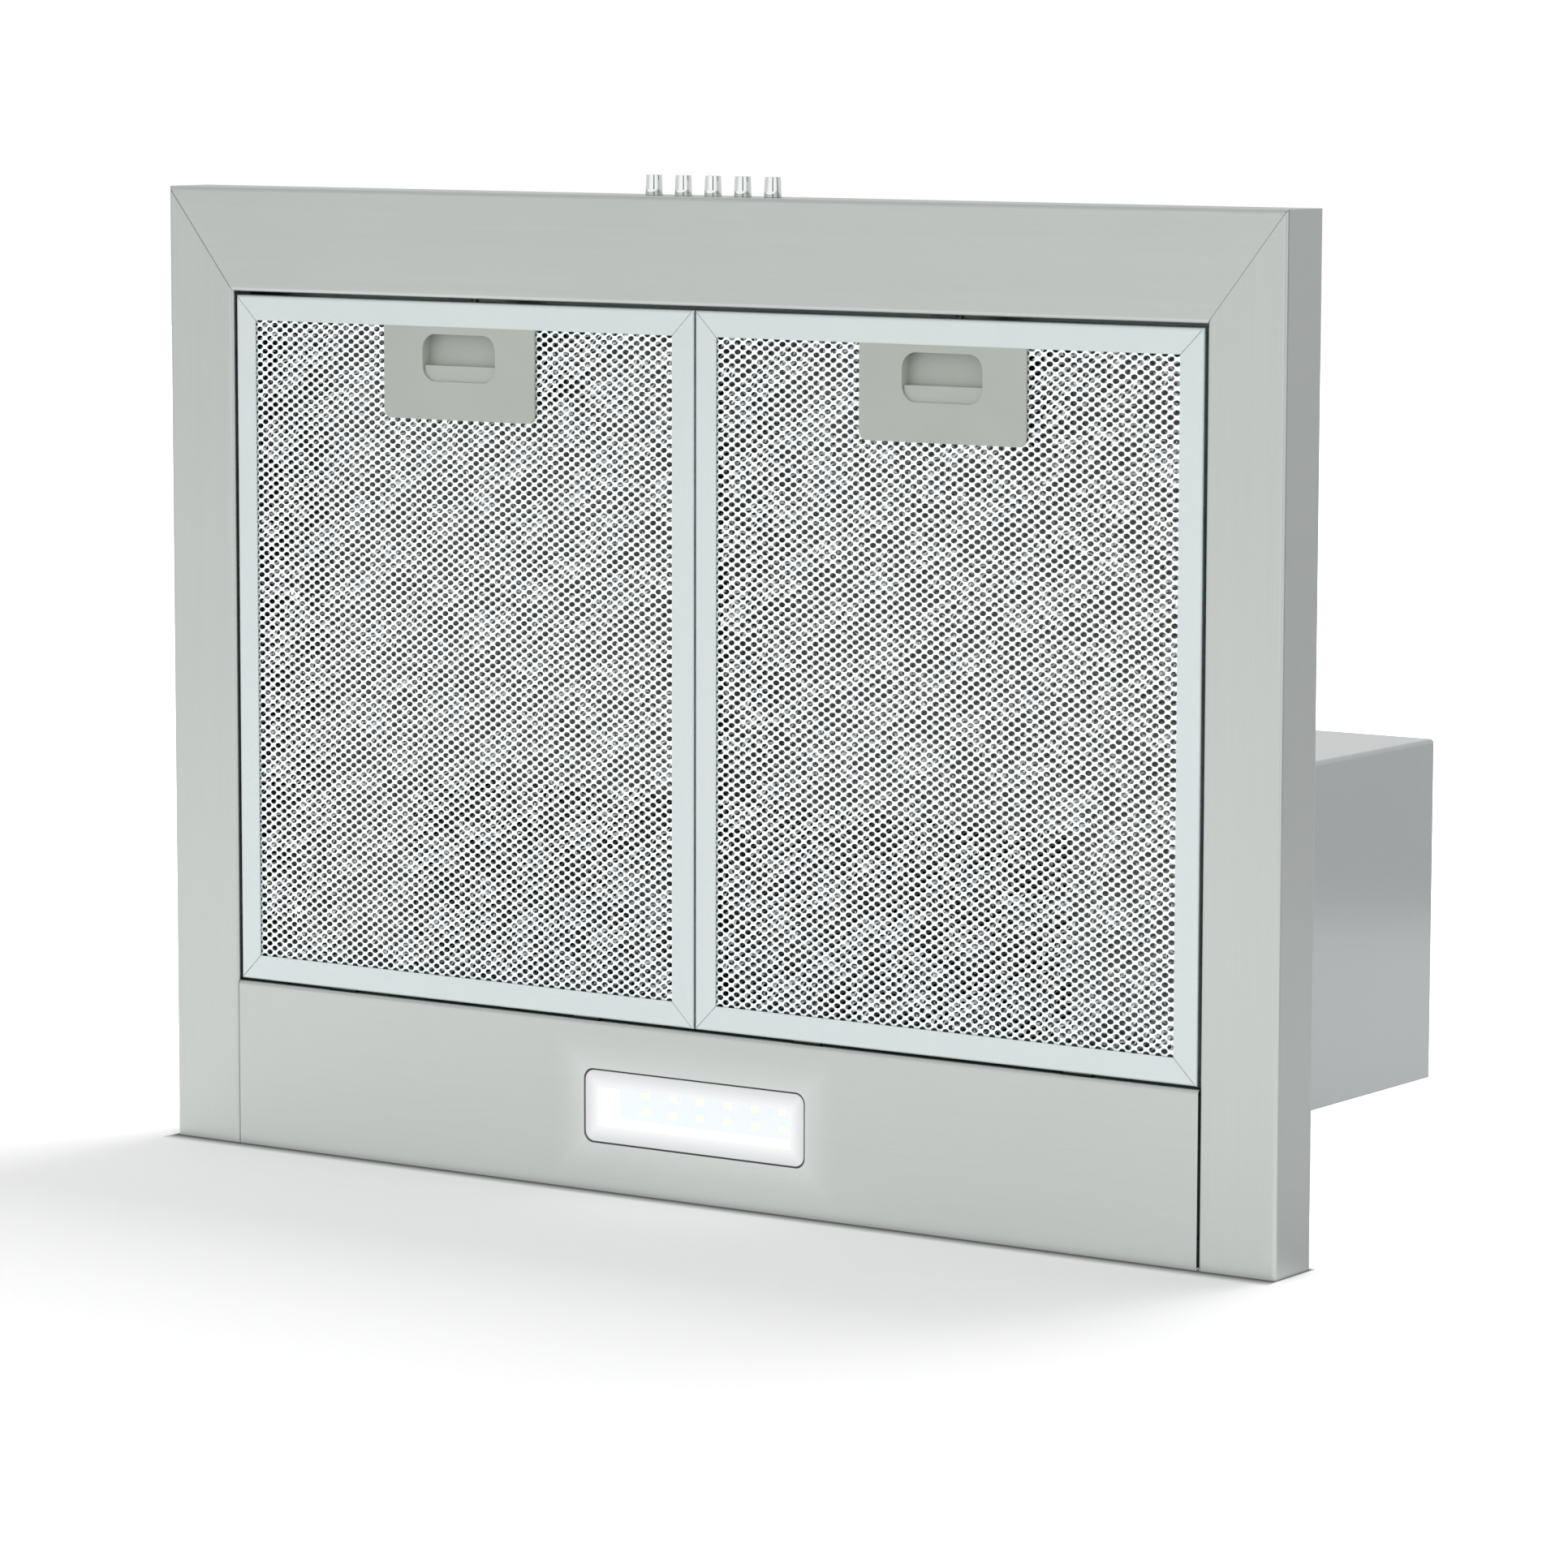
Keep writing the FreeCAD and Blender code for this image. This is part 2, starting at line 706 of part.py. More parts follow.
def filters():
    for name, side in (("left", -1), ("right", 1)):
        centre = side * (centre_gap + filter_width) / 2
        # Frame, with a slot for the latch tongue and two hinge tabs at the rear
        rails = mitred_frame(centre)
        slot_half = tongue_width / 2 + slide_gap
        slot = box(
            (centre - slot_half, centre + slot_half),
            (filter_front - sheet, filter_front + 2 * sheet),
            (tongue_low - slide_gap, tongue_low + tongue_height + slide_gap),
        )
        rails[0] = rails[0].cut(slot)
        for tab in (-1, 1):
            x = centre + tab * tab_spread / 2
            tab_x = (x - tab_width / 2, x + tab_width / 2)
            tab_z = (hinge_z - tab_wall / 2, hinge_z + tab_wall / 2)
            rails[2] = rails[2].fuse(box(tab_x, (filter_rear - filter_wall, hinge_y + tab_reach), tab_z))
        keep("filter_frame_" + name, Part.makeCompound([r.removeSplitter() for r in rails]))

        # Meshes: a lower and an upper sheet with a pleated one between, cut away over the latch
        inset = filter_face - mesh_grip
        mesh_x = (centre - filter_width / 2 + inset, centre + filter_width / 2 - inset)
        mesh_y = (filter_front + inset, filter_rear - inset)
        mesh_high = filter_high - filter_wall
        pocket_half = grip_width / 2 + handle_wall + slide_gap * 2 + latch_rail + pocket_margin
        pocket = box(
            (centre - pocket_half, centre + pocket_half),
            (filter_front + filter_wall, filter_front + filter_face + handle_depth - pocket_margin),
            (filter_low, mesh_high - mesh_wall),
        )
        keep("filter_face_mesh_" + name, box(mesh_x, mesh_y, (mesh_low, mesh_low + mesh_wall)).cut(pocket))
        keep("filter_back_mesh_" + name, box(mesh_x, mesh_y, (mesh_high - mesh_wall, mesh_high)))
        low = mesh_low + mesh_wall
        high = mesh_high - mesh_wall
        count = int((mesh_x[1] - mesh_x[0]) // pleat_pitch)
        pitch = (mesh_x[1] - mesh_x[0]) / count
        slope = math.hypot(pitch / 2, high - low) / (pitch / 2) * pleat_wall
        lower = []
        upper = []
        for i in range(2 * count + 1):
            x = mesh_x[0] + i * pitch / 2
            peak = i % 2
            lower.append((x, high - slope if peak else low))
            upper.append((x, high if peak else low + slope))
        core = prism(square(lower + upper[::-1]), "XZ", mesh_y[0], mesh_y[1])
        keep("filter_core_mesh_" + name, core.cut(pocket))

        handle(name, centre)


def handle(name, centre):
    plate_front = filter_front + filter_face
    plate_rear = plate_front + handle_depth
    half = handle_width / 2
    grip_front = plate_front + grip_margin
    grip_rear = grip_front + grip_depth
    grip_half = grip_width / 2

    # Plate with its two rear corners rounded, and the cup of the finger grip
    corners = [
        (centre - half, plate_front, 0), (centre + half, plate_front, 0),
        (centre + half, plate_rear, handle_corner), (centre - half, plate_rear, handle_corner),
    ]
    plate = prism(corners, "XY", handle_low, mesh_low)
    cup_top = handle_low + grip_recess
    wall_rear = grip_front + grip_free + grip_wall
    cup = box(
        (centre - grip_half - handle_wall, centre + grip_half + handle_wall),
        (grip_front - handle_wall, wall_rear),
        (mesh_low, cup_top + handle_wall),
    )
    room = box(
        (centre - grip_half, centre + grip_half), (grip_front, wall_rear + handle_wall), (handle_low, cup_top)
    )
    stop_y = grip_front + grip_free + latch_block + spring_room
    stop = box(
        (centre - grip_half, centre + grip_half),
        (stop_y, stop_y + handle_wall),
        (mesh_low, latch_low + latch_height),
    )
    opening = slab(
        (centre - grip_half, centre + grip_half),
        (grip_front, grip_rear),
        (handle_low - 1, mesh_low),
        grip_corner,
    )
    shell = joined([plate.cut(opening), cup.cut(room), stop])
    keep("filter_handle_" + name, shell)

    # Latch: a lip in the rear of the grip, two rails round the cup and the tongue at the front
    latch_top = latch_low + latch_height
    lip_front = grip_front + grip_free
    lip_rear = lip_front + latch_block
    lip_half = grip_half - slide_gap
    rail_in = grip_half + handle_wall + slide_gap
    rail_out = rail_in + latch_rail
    nose = filter_front - tongue_reach
    bridge_front = filter_front + filter_wall + slide_gap
    pieces = [
        box((centre - lip_half, centre + lip_half), (lip_front, lip_rear), (latch_low, latch_top)),
        box(
            (centre - rail_out, centre + rail_out),
            (wall_rear + slide_gap, lip_rear),
            (latch_low, latch_top),
        ),
    ]
    for side in (-1, 1):
        rail = sorted((centre + side * rail_in, centre + side * rail_out))
        pieces.append(box(rail, (bridge_front, lip_rear), (latch_low, latch_top)))
    pieces.append(box(
        (centre - rail_out, centre + rail_out),
        (bridge_front, plate_front - latch_travel),
        (latch_low, latch_top),
    ))
    pieces.append(box(
        (centre - tongue_width / 2, centre + tongue_width / 2),
        (nose, bridge_front + 1),
        (tongue_low, tongue_low + tongue_height),
    ))
    keep("filter_latch_" + name, joined(pieces))

    # Bow spring between the latch and the handle's stop
    ends = stop_y - joint_gap
    crown = lip_rear + joint_gap
    low = latch_low + (latch_height - leaf_height) / 2
    tips = [Vector(centre + side * leaf_half, ends, low) for side in (-1, 1)]
    inner = Part.Arc(
        tips[0] + Vector(leaf_wall, 0, 0),
        Vector(centre, crown + leaf_wall, low),
        tips[1] - Vector(leaf_wall, 0, 0),
    ).toShape()
    outer = Part.Arc(tips[0], Vector(centre, crown, low), tips[1]).toShape()
    closing = [
        Part.makeLine(tips[0], tips[0] + Vector(leaf_wall, 0, 0)),
        Part.makeLine(tips[1], tips[1] - Vector(leaf_wall, 0, 0)),
    ]
    leaf = Part.Face(Part.Wire(Part.__sortEdges__([inner, outer] + closing)))
    keep("latch_spring_" + name, leaf.extrude(Vector(0, 0, leaf_height)))


def keepers():
    # Spring clips behind the front lip's inner edge, each with a nub under its latch tongue
    clips = []
    foot_y = opening_front - sheet - keeper_wall
    wall_y = opening_front - sheet
    nub_y = opening_front + front_gap - 2 * slide_gap
    clip_high = underside + sheet + return_height
    profile = square([
        (foot_y, nub_low), (nub_y, nub_low), (nub_y, nub_high),
        (wall_y, nub_high), (wall_y, clip_high), (foot_y, clip_high),
    ])
    for side in (-1, 1):
        centre = side * (centre_gap + filter_width) / 2
        clips.append(prism(profile, "YZ", centre - keeper_width / 2, centre + keeper_width / 2))
    keep("latch_keepers", Part.makeCompound(clips))


def buttons():
    names = ["button_off", "button_speed_1", "button_speed_2", "button_speed_3", "button_light"]
    inner = front + sheet
    collar_front = inner + joint_gap
    collar_rear = collar_front + collar_wall
    switch_front = front + switch_back
    stem_end = switch_front + switch_wall + button_travel + stem_overlap
    springs = []
    for name, x in zip(names, button_places):
        cone_length = button_stand + sheet
        cone = Part.makeCone(
            button_base_radius, button_tip_radius, cone_length, Vector(x, inner, button_z), Vector(0, -1, 0)
        )
        tip_edges = [e for e in cone.Edges if abs(e.BoundBox.YMin - (front - button_stand)) < 0.01]
        cone = cone.makeFillet(button_tip_round, tip_edges[:1])
        neck = rod("Y", (x, button_z), button_tip_radius, inner, collar_front)
        collar = rod("Y", (x, button_z), collar_radius, collar_front, collar_rear)
        stem = rod("Y", (x, button_z), stem_radius, collar_rear, stem_end)
        keep(name, joined([cone, neck, collar, stem]))
        springs.append(bow_spring(x, collar_rear + spring_end_gap, switch_front - spring_end_gap))
    keep("button_springs", Part.makeCompound(springs))

    # Switch case with a bore for each stem, closed at the back by its contact block
    length, depth, height = switch_size
    x_ends = (-length / 2, length / 2)
    z_ends = (button_z - height / 2, button_z + height / 2)
    case = box(x_ends, (switch_front, switch_front + depth), z_ends)
    inside = box(
        (x_ends[0] + switch_wall, x_ends[1] - switch_wall),
        (switch_front + switch_wall, switch_front + depth + 1),
        (z_ends[0] + switch_wall, z_ends[1] - switch_wall),
    )
    bores = [
        rod("Y", (x, button_z), stem_radius + stem_gap, switch_front - 1, switch_front + switch_wall + 1)
        for x in button_places
    ]
    block_front = stem_end + button_travel + 1
    contacts = box(
        (x_ends[0] + switch_wall, x_ends[1] - switch_wall),
        (block_front, switch_front + depth),
        (z_ends[0] + switch_wall, z_ends[1] - switch_wall),
    )
    keep("switch_case", Part.makeCompound([without(case, [inside] + bores), contacts]))

    # Bracket: two feet on the rim's front face and a shelf over the case
    shelf_z = z_ends[1]
    bracket_x = length / 2 + bracket_foot
    shelf = box((-bracket_x, bracket_x), (inner, switch_front + depth), (shelf_z, shelf_z + sheet))
    feet = [
        box(
            sorted((side * bracket_x, side * (length / 2 + 2))),
            (inner, inner + sheet),
            (z_ends[0], shelf_z + sheet),
        )
        for side in (-1, 1)
    ]
    keep("switch_bracket", joined([shelf] + feet))


def tower():
    # Shell: front and two sides folded from one sheet, with flanges turned in at the bottom
    path = [
        (-tower_half, tower_rear), (-tower_half, tower_front),
        (tower_half, tower_front), (tower_half, tower_rear),
    ]
    shell = prism(folded(path, sheet, bend), "XY", 0, tower_height)
    inner_x = tower_half - sheet
    inner_front = tower_front + sheet
    inner_rear = tower_rear - sheet
    front_foot = box((-inner_x + bend, inner_x - bend), (inner_front, inner_front + tower_flange), (0, sheet))
    side_feet = [
        box(
            sorted((side * inner_x, side * (inner_x - tower_flange))),
            (inner_front + bend, inner_rear - cover_flange - joint_gap),
            (0, sheet),
        )
        for side in (-1, 1)
    ]
    shell = joined([shell, front_foot] + side_feet)
    cuts = [screw_hole(x, y, 0, "Z") for x, y in tower_screw_places]
    cover_y = inner_rear - cover_flange / 2
    cuts += [screw_hole(side * tower_half, cover_y, side_screw_rise, "X") for side in (-1, 1)]
    keep("tower_shell", without(shell, cuts))

    # Rear cover, with flanges that lie inside the shell's sides and a foot on the canopy
    cover_x = inner_x - joint_gap
    cover_top = plate_low - joint_gap
    path = [
        (cover_x, inner_rear - cover_flange), (cover_x, tower_rear), (-cover_x, tower_rear),
        (-cover_x, inner_rear - cover_flange),
    ]
    cover = prism(folded(path, sheet, bend), "XY", 0, cover_top)
    foot = box((-cover_x + 2 * bend, cover_x - 2 * bend), (inner_rear - tower_flange, inner_rear), (0, sheet))
    cover = joined([cover, foot])
    cuts = [screw_hole(x, y, 0, "Z") for x, y in tower_screw_places]
    cuts += [screw_hole(side * tower_half, cover_y, side_screw_rise, "X") for side in (-1, 1)]
    cuts += [screw_hole(x, tower_rear, z, "Y") for x, z in lip_screw_places]
    keep("tower_rear_cover", without(cover, cuts))

    # Top plate with the outlet hole and the cable gland's hole
    gap = joint_gap
    plate = slab(
        (-inner_x + gap, inner_x - gap), (inner_front + gap, tower_rear), (plate_low, tower_height), bend
    )
    cuts = [
        rod("Z", (0, tower_mid), outlet_radius - outlet_wall, plate_low - 1, tower_height + 1),
        rod("Z", gland_place, gland_radius + screw_gap, plate_low - 1, tower_height + 1),
    ]
    cuts += [screw_hole(x, tower_mid + y, tower_height, "Z") for x, y in collar_screw_places]
    lips = [
        box(
            sorted((side * (inner_x - gap), side * (inner_x - gap - sheet))),
            (inner_front + 2 * bend, inner_rear - cover_flange - 2 * bend),
            (plate_low - tower_flange, plate_low),
        )
        for side in (-1, 1)
    ]
    lips.append(box(
        (-inner_x + cover_flange, inner_x - cover_flange),
        (inner_rear - gap - sheet, inner_rear - gap),
        (plate_low - tower_flange, plate_low),
    ))
    cuts += [screw_hole(x, tower_rear, z, "Y") for x, z in lip_screw_places]
    keep("tower_top_plate", without(joined([plate] + lips), cuts))

    # Canopy to tower from below, and the rear cover from the sides and from behind
    screws.extend(screw(x, y, -sheet, "Z", -1) for x, y in tower_screw_places)
    screws.extend(screw(side * tower_half, cover_y, side_screw_rise, "X", side) for side in (-1, 1))
    screws.extend(screw(x, tower_rear, z, "Y", 1) for x, z in lip_screw_places)


def scroll_outline(extra):
    # The scroll in the YZ plane: three arcs of growing radius, then the duct up to the top plate.
    first, second, third = scroll_steps
    low = fan_rise
    centre_third = Vector(fan_y, low, 0)
    centre_second = centre_third + Vector(0, second - third, 0)
    centre_first = centre_second + Vector(first - second, 0, 0)

    def at(centre, radius, angle):
        turn = math.radians(angle)
        return on_plane("YZ", centre.x + radius * math.cos(turn), centre.y + radius * math.sin(turn), 0)

    def arc(centre, radius, start, end):
        middle = (start + end) / 2
        points = [at(centre, radius, angle) for angle in (start, middle, end)]
        return Part.Arc(*points).toShape()

    top = plate_low
    reach = outlet_radius - outlet_wall
    right = fan_y + third + extra
    left = tower_mid - reach - extra
    edges = [
        arc(centre_first, first + extra, cutoff_angle, 180),
        arc(centre_second, second + extra, 180, 270),
        arc(centre_third, third + extra, 270, 360),
    ]
    start = at(centre_first, first + extra, cutoff_angle)
    shoulder = Vector(0, left, low + first + (top - low - first) * duct_shoulder)
    corners = [Vector(0, right, low), Vector(0, right, top), Vector(0, left, top), shoulder, start]
    for a, b in zip(corners, corners[1:]):
        edges.append(Part.makeLine(a, b))
    return Part.Face(Part.Wire(Part.__sortEdges__(edges)))


def fan():
    # Scroll in two halves that meet on the wheel's centre plane
    half = scroll_width / 2
    eye = (fan_y, fan_rise)
    reach = scroll_flange
    flange_y = (
        tower_mid - outlet_radius - reach + scroll_flange_margin,
        fan_y + scroll_steps[2] + scroll_wall + scroll_flange_margin,
    )
    for name, side in (("left", -1), ("right", 1)):
        outer = scroll_outline(scroll_wall).extrude(Vector(side * half, 0, 0))
        inner = scroll_outline(0).extrude(Vector(side * (half - scroll_wall), 0, 0))
        hole = rod("X", eye, eye_radius + scroll_wall, side * half * 0.5, side * (half + 1))
        flange_x = sorted((0, side * (half + reach)))
        flange = box(flange_x, flange_y, (plate_low - flange_wall, plate_low))
        mouth = scroll_outline(0).extrude(Vector(side * (half - scroll_wall), 0, 0))
        mouth.translate(Vector(0, 0, flange_wall))
        keep("scroll_" + name, without(joined([outer, flange]), [inner, hole, mouth]))

    # Bell mouths in the two side plates
    mouths = []
    for side in (-1, 1):
        throat_x = (side * (half - throat_depth), side * half)
        throat = ring("X", eye, eye_radius + scroll_wall, eye_radius, *throat_x)
        lip = ring("X", eye, eye_radius + mouth_lip, eye_radius, side * half, side * (half + scroll_wall))
        mouths.append(joined([throat, lip]))
    keep("inlet_rings", Part.makeCompound(mouths))

    # Wheel: a centre plate and hub, two end rings and forward-curved blades
    inner_radius = wheel_radius - blade_depth
    bore = rod("X", eye, shaft_radius, -wheel_width, wheel_width)
    pieces = [
        rod("X", eye, wheel_radius, -wheel_plate / 2, wheel_plate / 2),
        rod("X", eye, hub_radius, -hub_width / 2, hub_width / 2),
    ]
    for side in (-1, 1):
        end = side * wheel_width / 2
        pieces.append(ring("X", eye, wheel_radius, inner_radius, end - side * wheel_plate, end))
    blade = blade_outline(inner_radius, wheel_radius).extrude(Vector(wheel_width - wheel_plate, 0, 0))
    blade.translate(Vector(-(wheel_width - wheel_plate) / 2, fan_y, fan_rise))
    for i in range(blade_count):
        copy = blade.copy()
        copy.rotate(Vector(0, fan_y, fan_rise), Vector(1, 0, 0), 360 / blade_count * i)
        pieces.append(copy)
    keep("fan_wheel", pieces[0].fuse(pieces[1:]).cut(bore))

    motor(eye, half)


def blade_outline(inner_radius, outer_radius):
    # One blade's section about the axis: two arcs a blade's thickness apart.
    def at(radius, angle):
        turn = math.radians(angle)
        return Vector(0, radius * math.cos(turn), radius * math.sin(turn))

    lead = 9.0
    sag = 2.2
    hide = 0.3
    inner = inner_radius + hide
    outer = outer_radius - hide
    thick_in = math.degrees(blade_wall / inner)
    thick_out = math.degrees(blade_wall / outer)
    middle = (inner + outer) / 2
    front_arc = Part.Arc(at(inner, 0), at(middle, lead / 2 - sag), at(outer, lead)).toShape()
    back_arc = Part.Arc(
        at(inner, thick_in), at(middle, lead / 2 - sag + thick_in), at(outer, lead + thick_out)
    ).toShape()
    edges = [
        front_arc,
        Part.makeLine(at(outer, lead), at(outer, lead + thick_out)),
        back_arc,
        Part.makeLine(at(inner, thick_in), at(inner, 0)),
    ]
    return Part.Face(Part.Wire(Part.__sortEdges__(edges)))


def motor(eye, half):
    near = -(half + motor_gap)
    far = near - motor_length
    wall = scroll_wall
    # Case, with an end cap and a bearing boss at each end
    case = [ring("X", eye, motor_radius, motor_radius - wall, near, far)]
    bearings = []
    for end, into in ((near, -1), (far, 1)):
        cap = rod("X", eye, motor_radius - wall, end, end + into * wall)
        boss = rod("X", eye, bearing_radius + wall, end + into * wall, end + into * (wall + bearing_width))
        seat = rod("X", eye, bearing_radius, end + into * wall, end + into * (wall + bearing_width + 1))
        hole = rod("X", eye, shaft_radius + 1, end - into, end + into * (wall + 1))
        case.append(joined([cap, boss]).cut(Part.makeCompound([seat, hole])))
        bearings.append(
            ring(
                "X", eye, bearing_radius, shaft_radius + running_gap,
                end + into * wall, end + into * (wall + bearing_width),
            )
        )
    keep("motor_case", Part.makeCompound(case))
    keep("motor_bearings", Part.makeCompound(bearings))

    # Stator, windings, and the rotor on its shaft
    core = (near - winding_inset, far + winding_inset)
    stator_radius = motor_radius - wall
    rotor_radius = motor_radius / 2
    coils = [
        ring("X", eye, stator_radius - winding_margin, rotor_radius + winding_clear, start, start + step)
        for start, step in ((core[0], winding_length), (core[1], -winding_length))
    ]
    laminations = ring("X", eye, stator_radius, rotor_radius + rotor_gap, core[0], core[1])
    keep("motor_stator", Part.makeCompound([laminations] + coils))
    shaft = rod("X", eye, shaft_radius, far - 4, hub_width / 2)
    drum = rod("X", eye, rotor_radius, core[0] - rotor_gap, core[1] + rotor_gap)
    keep("motor_rotor", joined([drum, shaft]))

    # Bracket: a band round the case and three arms to the side of the scroll
    band = ring("X", eye, motor_radius + band_wall, motor_radius, near - band_near, near - band_far)
    pieces = [band]
    foot_inner = eye_radius + foot_reach
    for i in range(3):
        arm_y = (fan_y + motor_radius + band_wall / 2, fan_y + foot_inner + foot_wall)
        foot_y = (fan_y + foot_inner, fan_y + foot_inner + foot_wall)
        arm_z = (fan_rise - arm_half, fan_rise + arm_half)
        arm = box((near - arm_far, near - arm_near), arm_y, arm_z)
        foot = box((near - arm_far, -half), foot_y, arm_z)
        leg = arm.fuse(foot)
        leg.rotate(Vector(0, *eye), Vector(1, 0, 0), 90 + 120 * i)
        pieces.append(leg)
    keep("motor_bracket", joined(pieces))


def outlet():
    # Collar with a bar across it, a ledge under each flap and bores for the flaps' pins
    centre = (0, tower_mid)
    bore = outlet_radius - outlet_wall
    top = tower_height + outlet_length
    ledge_low = tower_height + ledge_rise
    ledge_top = ledge_low + ledge_wall
    flap_z = ledge_top + flap_rest + flap_wall / 2
    bar_half = flap_spread - flap_pin_radius - bar_clear
    tube = ring("Z", centre, outlet_radius, bore, tower_height, top)
    foot = ring("Z", centre, outlet_flange, bore, tower_height, tower_height + flange_wall)
    ledge = ring("Z", centre, bore + flange_hide, bore - ledge_depth, ledge_low, ledge_top)
    bar_x = (-bore - flange_hide, bore + flange_hide)
    bar = box(bar_x, (tower_mid - bar_half, tower_mid + bar_half), (ledge_low - bar_drop, flap_z))
    pin_reach = outlet_radius + 1
    pin_holes = [
        rod("X", (tower_mid + side * flap_spread, flap_z), flap_pin_radius + pin_gap, -pin_reach, pin_reach)
        for side in (-1, 1)
    ]
    holes = [screw_hole(x, tower_mid + y, tower_height, "Z") for x, y in collar_screw_places]
    shape = joined([tube, foot, ledge, bar])
    keep("outlet_collar", without(shape, pin_holes + holes))

    # Two half-round flaps, each on a pin along its straight edge
    flap_radius = bore - flap_gap
    for name, side in (("front", -1), ("rear", 1)):
        hinge = tower_mid + side * flap_spread
        disc = rod("Z", centre, flap_radius, flap_z - flap_wall / 2, flap_z + flap_wall / 2)
        far = tower_mid + side * (outlet_radius + 1)
        flap_y = sorted((hinge, far))
        half = box((-outlet_radius, outlet_radius), flap_y, (flap_z - flap_wall, flap_z + flap_wall))
        pin_half = outlet_radius - pin_end_gap
        pin = rod("X", (hinge, flap_z), flap_pin_radius, -pin_half, pin_half)
        keep("damper_flap_" + name, joined([disc.common(half), pin]))
    seat = tower_height + flange_wall
    screws.extend(screw(x, tower_mid + y, seat, "Z", 1) for x, y in collar_screw_places)
    keep("screws", Part.makeCompound(screws))


def electrics():
    # Terminal box on the rear cover, with its lid and terminal block
    length, depth, height = terminal_size
    x_ends = (terminal_x - length / 2, terminal_x + length / 2)
    z_ends = (terminal_rise, terminal_rise + height)
    wall = terminal_wall
    shell = box(x_ends, (terminal_front + wall, terminal_rear), z_ends)
    inside = box(
        (x_ends[0] + wall, x_ends[1] - wall),
        (terminal_front, terminal_rear - wall),
        (z_ends[0] + wall, z_ends[1] - wall),
    )
    keep("terminal_box", shell.cut(inside))
    keep("terminal_lid", box(x_ends, (terminal_front, terminal_front + wall), z_ends))
    block_z = (z_ends[0] + block_end, z_ends[1] - block_end)
    way_y = terminal_rear - wall - block_depth / 2
    block = box(
        (x_ends[0] + block_side, x_ends[1] - block_side),
        (terminal_rear - wall - block_depth, terminal_rear - wall),
        block_z,
    )
    ways = [
        rod("Z", (terminal_x + i * way_pitch, way_y), way_radius, block_z[0] - wall, block_z[1] + wall)
        for i in (-1, 0, 1)
    ]
    keep("terminal_block", without(block, ways))

    # Gland through the top plate, open for a mains cable, with its nut below
    gland_top = tower_height + gland_wall
    body = rod("Z", gland_place, gland_radius, gland_top - gland_length, gland_top)
    head = rod("Z", gland_place, gland_nut, tower_height, gland_top)
    bore = rod("Z", gland_place, gland_bore, 0, tower_height + gland_length)
    nut = ring("Z", gland_place, gland_nut, gland_radius, plate_low - gland_wall, plate_low)
    keep("cable_gland", joined([body, head, nut]).cut(bore))

    # Capacitor below the box, held by a band on the rear cover, and its lead
    place = (terminal_x, terminal_rear - capacitor_radius - capacitor_gap)
    low = capacitor_rise
    high = low + capacitor_length
    keep("capacitor", rod("Z", place, capacitor_radius, low, high))
    clip_z = (low + clip_low, low + clip_high)
    band = ring("Z", place, capacitor_radius + clip_wall, capacitor_radius + clip_gap, *clip_z)
    tongue = box((place[0], place[0] + clip_tongue), (terminal_rear - clip_wall, terminal_rear), clip_z)
    keep("capacitor_band", joined([band, tongue]))
    leads.append(rod("Z", place, lead_radius, high, terminal_rise))

    # Harness from the switch, round inside the left rim and up into the tower
    run_z = button_z + cable_lift
    aisle_x = -(opening_half + (side_lip - sheet) / 2)
    aisle_y = front + switch_back + cable_inset
    start = -(switch_size[0] / 2)
    points = [
        (start, aisle_y, run_z), (aisle_x, aisle_y, run_z), (aisle_x, cable_drop[1], run_z),
        (cable_drop[0], cable_drop[1], run_z), (cable_drop[0], cable_drop[1], terminal_rise),
    ]
    keep("switch_cable", swept(points, cable_radius, 3 * cable_radius))
    near = -(scroll_width / 2 + motor_gap)
    motor_x = near - motor_length + winding_inset
    start_z = fan_rise + motor_radius
    into = terminal_front + lead_inset
    bend_z = start_z + lead_rise
    points = [
        (motor_x, fan_y, start_z), (motor_x, fan_y, bend_z),
        (terminal_x + lead_side, into, bend_z), (terminal_x + lead_side, into, terminal_rise),
    ]
    leads.append(swept(points, lead_radius, 4 * lead_radius))
    keep("wiring_leads", Part.makeCompound(leads))


if __name__ == "__main__":
    canopy()
    lamp()
    filters()
    keepers()
    buttons()
    tower()
    fan()
    outlet()
    electrics()
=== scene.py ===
import bpy
import json
import math
from mathutils import Matrix, Vector

